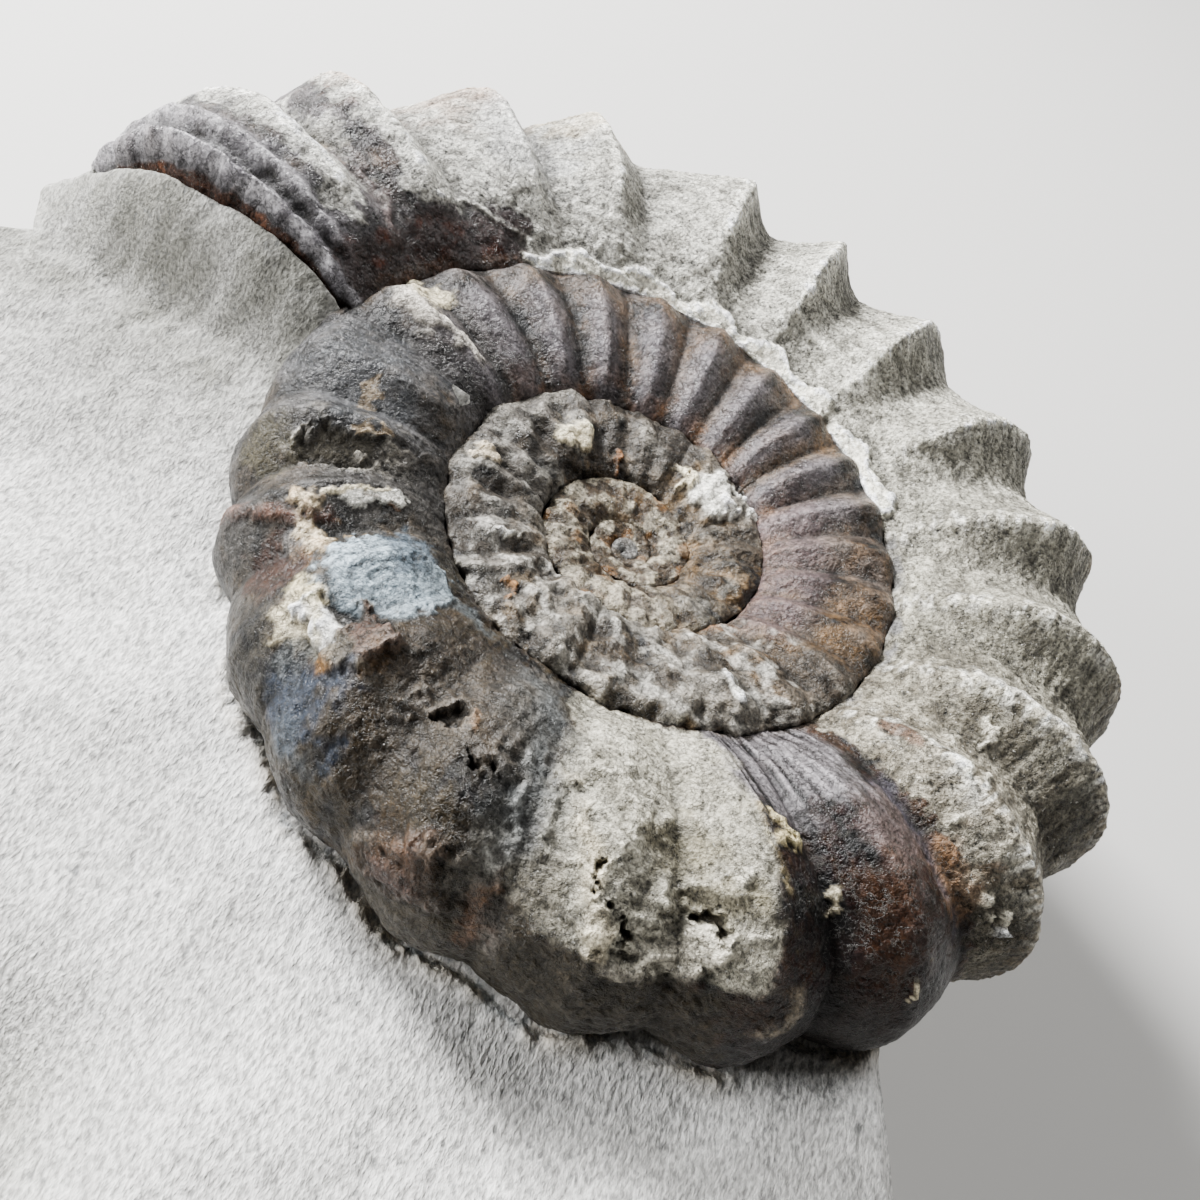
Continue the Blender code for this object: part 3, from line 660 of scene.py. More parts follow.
def finish_right(skin, crest):
    """Pointed ribs: crest flecks partly painted highlight, brown tips, painted shade under crests, darker
    lower sides.
    """
    right = skin.band(108.0, -36.0, 4.0, 2.0)
    tips = smoothstep((55.0 - skin.slant) / 25.0) * smoothstep(crest * 1.6 - 0.3)
    skin.paint(along_coil(skin.degrees, RIB_TIPS), 0.45 * right * tips * skin.islands(0.6, 0.9, 1))
    # Bright flecks along the crests: partly the stone's own flecks, partly painted highlight
    flecks = smoothstep(2.5 * layered(skin.flow * (0.4, 1.0, 1.0), 0.35 * MM, 2, seed=91) - 0.1)
    skin.paint((0.78, 0.76, 0.68), 0.75 * right * smoothstep(crest * 2.0 - 1.1) * flecks)
    after_crest = (rib_phase(skin.turn) - 0.03 * skin.ragged[1]) % 1.0
    streaks = layered(skin.flow * (0.3, 1.0, 1.0), 0.5 * MM, 3, seed=92, fade=0.7)
    # Painted shade, in streaks, on the side of each rib just after its crest
    painted_rib_shade = smoothstep(after_crest / 0.04) * smoothstep((0.30 - after_crest) / 0.18)
    painted_rib_shade = painted_rib_shade * smoothstep(0.55 + 1.4 * streaks) * smoothstep((100.0 - skin.slant) / 40.0)
    skin.paint((0.115, 0.112, 0.090), 0.62 * right * painted_rib_shade, gloss=0.5)
    # A thin painted shadow line just under each crest, also sunk a little
    painted_crest_shadow = bell(after_crest, 0.035, 0.012) * smoothstep((115.0 - skin.slant) / 20.0)
    skin.paint((0.07, 0.065, 0.05), 0.6 * right * painted_crest_shadow * skin.islands(0.6, 1.5, 3))
    skin.lift -= 0.12 * MM * right * painted_crest_shadow
    lower = smoothstep((30.0 - skin.slant) / 50.0)
    skin.paint((0.11, 0.10, 0.075), 0.55 * right * lower * skin.islands(0.7, 0.8, 2))
    skin.paint(CALCITE, skin.mound((-31.5, 31), (1.6, 1.3), 0.5, edge=0.5, seed=1), gloss=0.3)
    skin.paint_oval((0.07, 0.028, 0.014), 0.8, (-28, 122), (1.1, 2.4), gloss=0.7, seed=2, wander=0.3)
    skin.paint_oval((0.30, 0.17, 0.09), 0.6, (-35.5, 62), (3.0, 5.0), soft=0.8, seed=3)
    for degrees, slant, size in LAST_RIB_CRUMBS:
        crumb = skin.mound((degrees, slant), (size, 1.4 * size), 0.28, edge=0.7, seed=slant, ragged=0.6)
        skin.paint((0.66, 0.62, 0.50), 0.7 * crumb, grain=0.9)
    skin.lift += 0.22 * MM * skin.line([(-1.5, 118), (-2.5, 95), (-3.5, 75), (-4.5, 55)], 0.9, 0.3, 2)
    skin.trace((0.70, 0.68, 0.62), 0.6, [(-8.5, 112), (-9.0, 92), (-9.5, 72)], 0.7, 0.3, 1,
               height=0.18, gloss=0.4)


def finish_red_ribs(skin):
    """The two glossy red-brown barrels at the lower right, with nacre above and crumbs of lime."""
    red = skin.band(-36.5, -60.5, 1.2, 1.5)
    glow = skin.patch(-45.5, 66, 3.5, 5, soft=1.0, seed=1) + 0.6 * skin.patch(-47, 40, 3, 5, soft=1.0, seed=2)
    skin.paint((0.036, 0.016, 0.007), 0.5 * red * np.clip(glow, 0, 1), gloss=0.85)
    skin.paint((0.012, 0.009, 0.008), 0.75 * red * skin.strip(21.5, BELOW, 25.0, -10.0))
    nacre = skin.band(-39.0, -61.0, 3.0, 3.0, 1) * skin.strip(ABOVE, 100, 16.0, 14.0, 2)
    lines = layered(skin.flow * (1.0, 0.08, 1.0), 0.28 * MM, 2, seed=95)
    skin.paint(np.array(NACRE) * (0.9 + 1.1 * lines[..., None]), 0.85 * nacre, gloss=0.8, grain=0.15)
    skin.lift += 0.07 * MM * nacre * lines
    haze = skin.patch(-41, 88, 3.5, 5, ragged=0.6, soft=0.9, seed=3)
    skin.paint((0.11, 0.08, 0.075), 0.6 * haze * red, gloss=0.6)
    for place, size in (((-52.5, 67), (0.6, 0.9)), ((-44.5, 31), (0.6, 1.6))):
        crumb = skin.mound(place, size, 0.12, tilt=25, edge=0.5, seed=1)
        skin.paint(CREAM, 0.8 * crumb, gloss=0.35, grain=0.6)
    for degrees, slant, size in RED_RIB_CRUMBS:
        crumb = skin.mound((degrees, slant), (size, 1.6 * size), 0.15, edge=0.6, seed=slant, ragged=0.5)
        skin.paint((0.60, 0.50, 0.27), 0.85 * crumb, gloss=0.2, grain=0.9)
    skin.trace((0.35, 0.28, 0.15), 0.6 * skin.islands(0.5, 2.0, 3),
               [(-60.5, 108), (-60.0, 95), (-59.0, 82), (-58.0, 68), (-57.0, 52)], 0.4, 0.3, 1, grain=0.8)
    skin.trace((0.09, 0.085, 0.11), 0.7, [(-36.5, 112), (-37.0, 90), (-37.5, 65), (-37.5, 40)], 0.8, 0.2, 2,
               height=-0.15, gloss=0.6)


def finish_bottom(skin):
    """The worn, stony stretch at the bottom, with its cavities and the dark band of shell below."""
    region = skin.band(-60.0, -86.0, 2.0, 3.0, 3)
    skin.paint((0.36, 0.34, 0.27), 0.5 * region * skin.strip(150, 36, 8.0, 6.0, 1), grain=0.7)
    cavity = skin.dent((-74.2, 46), (0.7, 1.8), 1.3, rim=0.10, tilt=-20, seed=1)
    skin.paint((0.016, 0.016, 0.015), cavity, gloss=0.2)
    skin.paint(SOOT, skin.dent((-78.0, 60), (0.35, 1.3), 0.5, tilt=-15, seed=2))
    skin.paint((0.06, 0.05, 0.035), skin.dent((-65.5, 51), (1.5, 0.7), 0.6, rim=0.1, tilt=10, seed=3))
    skin.trace((0.50, 0.46, 0.37), 0.5, [(-74.5, 30), (-71.5, 33), (-69.0, 36), (-67.0, 42), (-65.0, 45)],
               1.1, 0.3, 1, height=0.35)
    skin.trace((0.42, 0.36, 0.24), 0.6,
               [(-83.0, 90), (-82.0, 78), (-79.5, 68), (-78.0, 58), (-77.5, 48), (-76.5, 36)],
               0.9, 0.4, 2, height=0.28)
    for degrees, slant, size in BOTTOM_LUMPS:
        skin.mound((degrees, slant), (size, 1.2 * size), 0.35, seed=int(size * 10), ragged=0.5)
    olive = skin.patch(-64.5, 62, 3.5, 2.0, soft=0.8, seed=1) + skin.patch(-69, 80, 4, 2.5, soft=0.9, seed=2)
    skin.paint((0.13, 0.11, 0.055), 0.6 * region * np.clip(olive, 0, 1))
    dark_band = skin.band(-62.0, -100.0, 2.0, 3.0) * skin.strip(28, BELOW, 6.0, -6.0, 3)
    skin.paint((0.028, 0.023, 0.015), 0.85 * dark_band, gloss=0.7, grain=0.3)
    curl = skin.line([(-60.0, 12), (-58.0, 16), (-56.5, 24), (-57.0, 34)], 0.8, 0.3, 2)
    skin.lift += 0.2 * MM * curl
    skin.paint((0.40, 0.33, 0.23), 0.5 * curl * skin.islands(0.3, 2.0, 1))


def finish_lower_left(skin):
    """Worn dark shell with a ledge, pits and a smooth blue-grey groove."""
    skin.trace((0.115, 0.12, 0.118), 0.7, [(-92.5, 125), (-90.0, 105), (-88.0, 88), (-87.5, 72), (-87.0, 60)],
               2.6, 0.3, 1, gloss=0.7, grain=0.2)
    skin.trace((0.30, 0.31, 0.30), 0.5, [(-89.5, 92), (-88.5, 76), (-87.5, 62), (-86.5, 52)], 0.5, 0.2, 2,
               height=0.15, gloss=0.6)
    skin.paint(SOOT, 0.8 * skin.dent((-101.5, 80), (1.3, 0.9), 0.5, rim=0.1, seed=1))
    skin.paint(SOOT, 0.8 * skin.dent((-95.0, 73), (0.9, 0.5), 0.4, rim=0.05, seed=2))
    for degrees, slant, size, height in LEFT_LUMPS:
        skin.mound((degrees, slant), (size, size), height, seed=int(10 * size), ragged=0.4)
    skin.paint_oval(AMBER, 0.8, (-98.5, 88), (0.9, 1.0), gloss=0.7, seed=1)
    skin.paint_oval((0.060, 0.050, 0.038), 0.5, (-98, 88), (6, 5), gloss=0.6, soft=0.8, seed=2)
    ledge = skin.line([(-102.5, 8), (-101.0, 18), (-98.5, 28), (-95.0, 37), (-92.0, 43)], 0.6, 0.12, 1)
    below = skin.mound((-95.4, 25), (7.5, 3.0), 0.45, tilt=-42, edge=0.7, seed=2, ragged=0.2)
    skin.lift += 0.22 * MM * ledge
    skin.paint((0.022, 0.010, 0.006), below, gloss=0.8, grain=0.2)
    skin.paint((0.10, 0.080, 0.062), 0.5 * ledge * skin.islands(0.3, 2.0, 0), gloss=0.6)
    skin.trace((0.040, 0.018, 0.007), 0.8, [(-98.5, 26), (-96.0, 33), (-94.0, 38)], 1.0, 0.3, 2, gloss=0.75)
    skin.trace((0.75, 0.74, 0.68), 1.0, [(-89.4, 51), (-88.6, 47)], 0.5, 0.1)
    skin.paint_oval((0.17, 0.165, 0.145), 0.6, (-89.5, 46), (2.0, 4.0), gloss=0.5, soft=0.8, seed=3)
    skin.paint_oval((0.13, 0.06, 0.03), 0.5, (-88.0, 26), (1.6, 3.4), soft=0.8)
    skin.paint_oval((0.16, 0.145, 0.13), 0.45, (-86.5, 22), (1.4, 2.6), soft=0.8, seed=1)
    for degrees, slant, size in LEFT_STAINS:
        skin.paint_oval((0.028, 0.021, 0.013), 0.6, (degrees, slant), (size, 1.4 * size), soft=0.9, seed=int(size))


def finish_pit(skin):
    """The rimmed pit in the grey shell on the left, the stains round it and a painted blue-grey sheen nearby.
    """
    rough = skin.patch(-158.5, 92, 4.2, 7.5, ragged=0.5, soft=0.5, seed=1)
    flaky = terraces(2.0 * layered(skin.base, 1.6 * MM, 3, seed=120), 4, 0.3)
    skin.lift += 0.14 * MM * rough * flaky
    skin.paint((0.13, 0.12, 0.105), 0.7 * rough * skin.islands(0.5, 1.6, 2), grain=0.9, gloss=0.5)
    pit = skin.dent((-156.5, 88), (1.7, 5.4), 0.25, rim=0.14, seed=2, ragged=0.15)
    skin.paint((0.075, 0.066, 0.048), 0.8 * pit, gloss=0.45)
    rim = bell(skin.oval(-156.5, 88, 1.5, 5.0, 0.0, 0.25, 2), 1.3, 0.18)
    skin.paint((0.38, 0.35, 0.29), 0.6 * rim * skin.islands(0.4, 2.0, 0))
    skin.paint_oval(TAN, 0.8, (-172.0, 89), (2.0, 1.3), seed=3)
    skin.paint_oval(TAN, 0.5, (-161.0, 100), (0.8, 2.5), seed=1)
    skin.paint_oval((0.055, 0.048, 0.028), 0.8, (-157, 42), (4.0, 3.2), gloss=0.5, soft=0.5)
    # A painted blue-grey sheen on the top of the whorl
    skin.paint_oval((0.10, 0.105, 0.112), 0.5, (-176, 84), (7, 8), gloss=0.7, soft=1.0, seed=2)


def finish_left_lime(skin):
    """Down from the pit: two lenses of lime, the tan lump with its red-brown shell and a bent ridge."""
    lens = skin.patch(-144.6, 99, 0.7, 3.6, tilt=-12, seed=1, wander=0.6)
    lens_far = skin.patch(-143.6, 109, 0.8, 2.8, tilt=-12, seed=2, wander=0.6)
    skin.lift += 0.10 * MM * np.clip(lens + lens_far, 0, 1)
    skin.paint(CREAM, lens, gloss=0.3, grain=0.4)
    skin.paint(CALCITE, lens_far, gloss=0.35, grain=0.3)
    skin.trace(RUST, 0.8, [(-143.8, 96), (-143.2, 106), (-142.4, 118)], 0.22, 0.08, 3)

    tan = skin.mound((-137.5, 73), (4.2, 3.6), 0.3, edge=0.6, seed=2, ragged=0.4)
    skin.paint(TAN, tan, gloss=0.25, grain=0.8)
    skin.paint((0.66, 0.55, 0.38), tan * skin.islands(0.3, 1.5, 1), grain=0.8)
    skin.paint_oval(AMBER, 0.5, (-133.0, 68), (1.6, 1.2), soft=0.7, seed=2)
    skin.paint_oval((0.032, 0.014, 0.009), 0.85, (-135.5, 50), (3.6, 4.2), gloss=0.75, soft=0.4, seed=3)
    skin.paint_oval((0.12, 0.12, 0.12), 0.7, (-139.0, 62), (1.8, 1.8), gloss=0.6, soft=0.5)
    skin.trace((0.085, 0.036, 0.022), 0.7, [(-147.5, 22), (-143.5, 45), (-141.5, 66), (-140.5, 84)],
               0.7, 0.2, 1, height=0.25)


def finish_left_blue(skin):
    """Layered blue calcite and the white and orange lime below it."""
    blue = skin.patch(-125.0, 100, 5.0, 6.4, tilt=10, soft=0.2, seed=1)
    layers = 4.0 * skin.oval(-124.5, 96, 4.2, 6.6, tilt=15, ragged=0.0, wander=0.25)
    layers = layers + 1.6 * layered(skin.base, 3.0 * MM, 2, seed=125)
    rings = layers - np.floor(layers)
    skin.lift += MM * blue * (0.15 + 0.08 * (smoothstep(rings / 0.3) - rings))
    shade = 0.45 + 0.85 * smoothstep(rings / 0.35) * (1.0 - 0.35 * rings) + 0.3 * skin.ragged[0]
    skin.paint(np.array(BLUE_GREY) * 1.15 * shade[..., None], 0.92 * blue, gloss=0.55, grain=0.3)
    skin.paint_oval((0.075, 0.10, 0.125), 0.8, (-131.5, 118), (3.4, 3.4), gloss=0.4, ragged=0.5, soft=0.4, seed=3)
    skin.paint_oval((0.10, 0.12, 0.13), 0.6, (-118.5, 128), (4.0, 2.6), ragged=0.6, soft=0.8)

    skin.paint_oval(CREAM, 0.85, (-123.0, 58), (3.6, 3.4), gloss=0.2, grain=0.7, ragged=0.5, soft=0.4, seed=2)
    white = skin.mound((-122.2, 62), (3.0, 3.0), 0.3, edge=0.4, seed=3, ragged=0.25)
    skin.paint((0.92, 0.91, 0.87), white, gloss=0.4, grain=0.2)
    skin.trace((0.60, 0.52, 0.30), 0.8, [(-128.5, 60), (-125.0, 64), (-121.0, 58)], 0.8, 0.3, 1)
    hump = skin.mound((-116.5, 72), (3.6, 4.4), 0.6, edge=0.6, seed=1, ragged=0.35)
    crust = terraces(2.0 * layered(skin.base, 1.2 * MM, 3, seed=130), 4)
    skin.lift += 0.30 * MM * hump * crust
    on_hump = smoothstep(2.0 * hump)
    skin.paint(blend((0.030, 0.024, 0.017), (0.10, 0.085, 0.06), crust), on_hump, gloss=0.55)
    skin.paint_oval((0.045, 0.017, 0.009), 0.8 * on_hump, (-115.0, 78), (3.2, 2.2), soft=0.6, seed=2)
    skin.trace((0.24, 0.12, 0.035), 0.8 * skin.islands(0.4, 1.5, 0),
               [(-119.5, 50), (-114.5, 56), (-112.5, 68), (-112.5, 80)], 0.9, 0.3, 2, gloss=0.5)
    skin.paint_oval(DEEP_BLUE, 0.85, (-116.5, 34), (4.6, 4.4), gloss=0.75, grain=0.3, ragged=0.5, soft=0.5)
    skin.paint_oval((0.13, 0.14, 0.14), 0.6, (-120.0, 46), (1.6, 3.0), soft=0.8, seed=1)
    skin.paint_oval((0.06, 0.072, 0.082), 0.5, (-114.0, 22), (3.0, 2.4), soft=0.8, seed=3)
    skin.paint_oval((0.055, 0.044, 0.033), 0.45, (-107, 96), (7, 7), gloss=0.6, soft=1.0, seed=2)


def finish_seam(skin):
    """Along the last whorl's inner seam: the wavy strip of calcite, patchy darker colour and a thin blue
    shell edge.
    """
    near_edge = smoothstep((skin.slant - 148.0) / 6.0)
    # Patchy darker colour next to the seam
    skin.paint((0.07, 0.055, 0.04), 0.5 * near_edge * skin.islands(0.5, 1.0, 0))
    wave = 147.5 + 3.5 * np.sin(math.radians(360.0) * rib_phase(skin.turn - 1.0)) + 3.0 * skin.ragged[1]
    gap = 1.0 - bell(skin.degrees, 62.0, 1.8)
    calcite = skin.band(133.0, 33.0, 2.0, 2.0) * smoothstep((skin.slant - wave) / 2.0 + 0.5) * gap
    skin.lift += 0.45 * MM * calcite
    skin.paint((0.74, 0.71, 0.60), 0.95 * calcite, gloss=0.4, grain=0.25)
    blue = skin.band(28.0, -30.0, 3.0, 2.0) * skin.strip(ABOVE, 150.5, 3.0, 4.0, 2)
    skin.paint((0.10, 0.10, 0.11), 0.7 * blue * skin.islands(0.5, 1.5, 1), gloss=0.65, grain=0.3)


def finish_older(skin, crest):
    """Older whorls: brown ribs with painted lilac sheen on crests, rust in the hollows, scaly and lumpy
    further in.
    """
    rust = skin.strip(ABOVE, 128, 20.0, 12.0, 1) * skin.band(-205.0, -400.0, 10.0, 4.0)
    skin.paint(RUST, 0.55 * rust * skin.islands(0.3, 1.6, 2), gloss=0.5)
    # Painted sheen: lilac-grey lightening on the crests on the upper part of the whorl
    light = skin.band(-195.0, -330.0, 8.0, 4.0, 1) * smoothstep(crest * 1.4 - 0.2)
    skin.paint((0.15, 0.135, 0.145), 0.6 * light * skin.strip(ABOVE, 70, 20.0, 0.0), gloss=0.85, grain=0.2)
    # Mauve tone with painted sheen, on the crests at the top of the tube
    mauve_top_sheen = skin.band(-315.0, -385.0, 8.0, 5.0, 2) * smoothstep((skin.slant - 85.0) / 25.0)
    skin.paint((0.14, 0.10, 0.10), 0.55 * mauve_top_sheen * smoothstep(0.4 + crest), gloss=0.7)
    rough = skin.band(-385.0, -490.0, 12.0, 6.0, 3)
    scaly = terraces(2.2 * layered(skin.base, 1.3 * MM, 3, seed=140), 5)
    skin.lift += 0.30 * MM * rough * (scaly - 0.5)
    uneven = smoothstep((-370.0 - skin.degrees) / 40.0) * (1.0 - smoothstep((-1100.0 - skin.degrees) / 200.0))
    knobs = layered(skin.base, 2.0 * MM, 3, seed=155, fade=0.6)
    skin.lift += 0.55 * MM * uneven * knobs * np.clip(skin.size / (20.0 * MM), 0.2, 1.0)
    # Painted shade between the knobs and painted highlight on their tops
    skin.paint((0.030, 0.024, 0.018), 0.75 * uneven * smoothstep(-3.0 * knobs - 0.1), gloss=0.6)
    skin.paint((0.34, 0.32, 0.275), 0.35 * uneven * smoothstep(3.0 * knobs - 0.4), gloss=0.75)
    old = smoothstep((-500.0 - skin.degrees) / 60.0) * (1.0 - smoothstep((-800.0 - skin.degrees) / 60.0))
    skin.lift += 0.22 * MM * old * (scaly - 0.5)
    flecks = smoothstep(3.0 * layered(skin.base, 0.8 * MM, 3, seed=150) - 0.6)
    skin.paint((0.48, 0.46, 0.41), 0.55 * rough * flecks)
    skin.paint((0.50, 0.48, 0.43), 0.4 * skin.band(-480.0, -560.0, 8.0, 5.0) * flecks)


def finish_core(skin):
    """Single lumps of lime on the older whorls, and the beaded core with its first chamber."""
    for place, size, colour in LIME_LUMPS:
        lump = skin.mound(place, size, 0.22, edge=0.5, seed=int(-place[0]), ragged=0.5)
        skin.paint(colour, lump, gloss=0.35, grain=0.6)
    core = smoothstep((-740.0 - skin.degrees) / 60.0)
    beads = layered(skin.base, 0.7 * MM, 3, seed=160)
    skin.lift += 0.10 * MM * core * beads
    beaded = blend((0.045, 0.032, 0.020), (0.36, 0.32, 0.24), smoothstep(0.3 + 1.6 * beads))
    skin.paint(beaded, 0.7 * core, grain=0.6)
    skin.paint(AMBER, 0.6 * core * smoothstep(3.0 * layered(skin.base, 1.2 * MM, 2, seed=170) - 1.1))
    skin.lift += 0.24 * MM * smoothstep((-1480.0 - skin.degrees) / 300.0)
    first_chamber = smoothstep((-1560.0 - skin.degrees) / 60.0)
    skin.paint((0.17, 0.17, 0.165), 0.8 * first_chamber, gloss=0.6, grain=0.3)


def paint_relief_shade_and_highlight(skin, passes):
    """Painted shade in the hollows and painted highlight on raised edges, worked out from the finished
    relief.
    """
    hollow = (skin.lift - softened(skin.lift, passes)) / MM
    # Painted shade: the hollows of the relief are darkened
    skin.tint *= (1.0 - 0.5 * smoothstep(-hollow / 0.18))[..., None]
    # Painted highlight: the raised edges of the relief are lightened
    wear_and_highlight = smoothstep(hollow / 0.22 - 0.1)
    skin.tint = skin.tint * (1.0 + 0.7 * wear_and_highlight)[..., None] + 0.02 * wear_and_highlight[..., None]
    skin.gloss *= 1.0 - 0.4 * smoothstep(-hollow / 0.16)
    skin.tint = np.clip(skin.tint, 0.002, 0.95)


def finish_skin(skin, passes):
    wander = 0.05 * layered(skin.base, 7.0 * MM, 2, seed=5)
    skin.lift -= rib_relief(skin.turn, skin.swing, wander)
    crest = 1.0 - rib_valley(skin.turn, wander)
    lay_ground(skin)
    if skin.degrees.max() > 0.0:
        finish_mouth(skin)
        finish_top(skin)
        finish_right(skin, crest)
        finish_red_ribs(skin)
        finish_bottom(skin)
        finish_lower_left(skin)
        finish_pit(skin)
        finish_left_lime(skin)
        finish_left_blue(skin)
        finish_seam(skin)
    else:
        finish_older(skin, crest)
        finish_core(skin)
    paint_relief_shade_and_highlight(skin, passes)


def outer_whorl():
    """The last whorl, with its rings packed closer at the rolled lip."""
    turns = np.linspace(MOUTH_TURN - 1.0, MOUTH_TURN, OUTER_RINGS)
    close = MOUTH_TURN - (MOUTH_TURN - turns[-2]) * np.geomspace(1.0, 0.02, LIP_RINGS)
    turns = np.concatenate([turns[:-2], close, turns[-1:]])
    skin = Skin(turns, section_swings(OUTER_FINE, OUTER_COARSE, OUTER_FINE_TO))
    finish_skin(skin, 30)
    return skin


def inner_whorls():
    """Rings lie closer together further in, as the whorls get smaller."""
    first, last = MOUTH_TURN - WHORLS, MOUTH_TURN - 1.0
    share = np.linspace(0.0, 1.0, INNER_RINGS)
    turns = last - (last - first) * (1.0 - np.log1p(share * math.expm1(INNER_NARROWING)) / INNER_NARROWING)
    skin = Skin(turns, section_swings(INNER_FINE, INNER_COARSE, INNER_FINE_TO))
    finish_skin(skin, 12)
    return skin


def outline_radius(angle):
    """From the axis to the outline of the rock's face, for an array of directions."""
    best = np.zeros_like(angle)
    cos, sin = np.cos(angle), np.sin(angle)
    for (ax, ay), (bx, by) in zip(OUTLINE, OUTLINE[1:] + OUTLINE[:1]):
        across_a, across_b = ay * cos - ax * sin, by * cos - bx * sin
        between = across_a * across_b <= 0.0
        share = across_a / np.where(between & (across_a != across_b), across_a - across_b, 1.0)
        along = (ax + (bx - ax) * share) * cos + (ay + (by - ay) * share) * sin
        best = np.where(between, np.maximum(best, along * MM), best)
    return best


def lumps(a, b, length):
    """The same low waves as on the solid."""
    return (0.55 * np.sin(a / length + 1.3) * np.cos(b / length - 0.6)
            + 0.30 * np.sin((a + 0.7 * b) / (0.47 * length) + 2.1)
            + 0.20 * np.cos((1.1 * a - b) / (0.31 * length)))


def pressed_height(gap, radius, size):
    """Height of the lip over this radius, pressed in as deep as a valley, less the gap under it."""
    across = np.clip((radius / size - 1.0 + HALF_HEIGHT) / HALF_HEIGHT, -1.0, 1.0)
    swing = np.arccos(across)
    reach = np.clip((1.0 - HALF_HEIGHT - radius / size) / (1.0 - HALF_HEIGHT - SEAM_RADIUS), 0.0, 1.0)
    drop = (HALF_WIDTH - SEAM_RADIUS * SEAM_SLOPE) * reach * reach
    smooth = np.where(across > 0.0, HALF_WIDTH * np.sin(swing), HALF_WIDTH - drop)
    swing = np.where(across > 0.0, swing, np.arccos(reach * math.cos(SEAM_SWING)))
    return size * (smooth - RIB_DEPTH * rib_weight(swing)) - gap


def plug_top(angle, radius):
    """Height of the stone that fills the mouth and spreads out in front of it, and its share."""
    beyond = (angle - angle_at(MOUTH_TURN)) % (2.0 * math.pi)
    size = venter_radius(MOUTH_TURN)
    way = beyond * radius
    in_mouth = pressed_height(MOUTH_GAP, radius, size)
    outwards = radius + BRINK_TURN * np.minimum(way, BRINK_STRAIGHT)
    slope = np.interp(outwards, [BRINK, BRINK_END, BRINK_END + CLIFF], [BRINK_LEVEL, 0.0, ROCK_LEVEL])
    in_mouth = np.where(outwards > BRINK, np.minimum(slope, in_mouth.max()), in_mouth)
    plateau = PLUG_LEVEL + PLUG_SLOPE * (radius - PLUG_INNER)
    plateau = np.where(outwards > BRINK, np.minimum(plateau, slope), plateau)
    top = plateau + (in_mouth - plateau) * (1.0 - smoothstep(way / PLUG_STEEP))
    share = 1.0 - smoothstep((way - 1.5 * MM) / PLUG_REACH)
    return top, np.where(beyond > 2.0 * math.pi * PLUG_TURN, 0.0, share)


def underside(turn, radius):
    """Height of the shell's underside, or zero outside it."""
    size = venter_radius(turn)
    centre = (1.0 - HALF_HEIGHT) * size
    depth = HALF_WIDTH * size
    across = (radius - centre) / (HALF_HEIGHT * size)
    outer = -depth * np.sqrt(np.maximum(0.0, 1.0 - across * across))
    inner = HUB_LEVEL + (-depth - HUB_LEVEL) * radius / centre
    return np.where(radius <= centre, inner, outer)


def contact_radius(turn):
    """Where the shell meets the rock's face, ribs and all."""
    size = venter_radius(turn)
    swing = np.arcsin(ROCK_LEVEL / (HALF_WIDTH * size))
    return size * (1.0 - HALF_HEIGHT + HALF_HEIGHT * np.cos(swing)) - rib_relief(turn, swing)


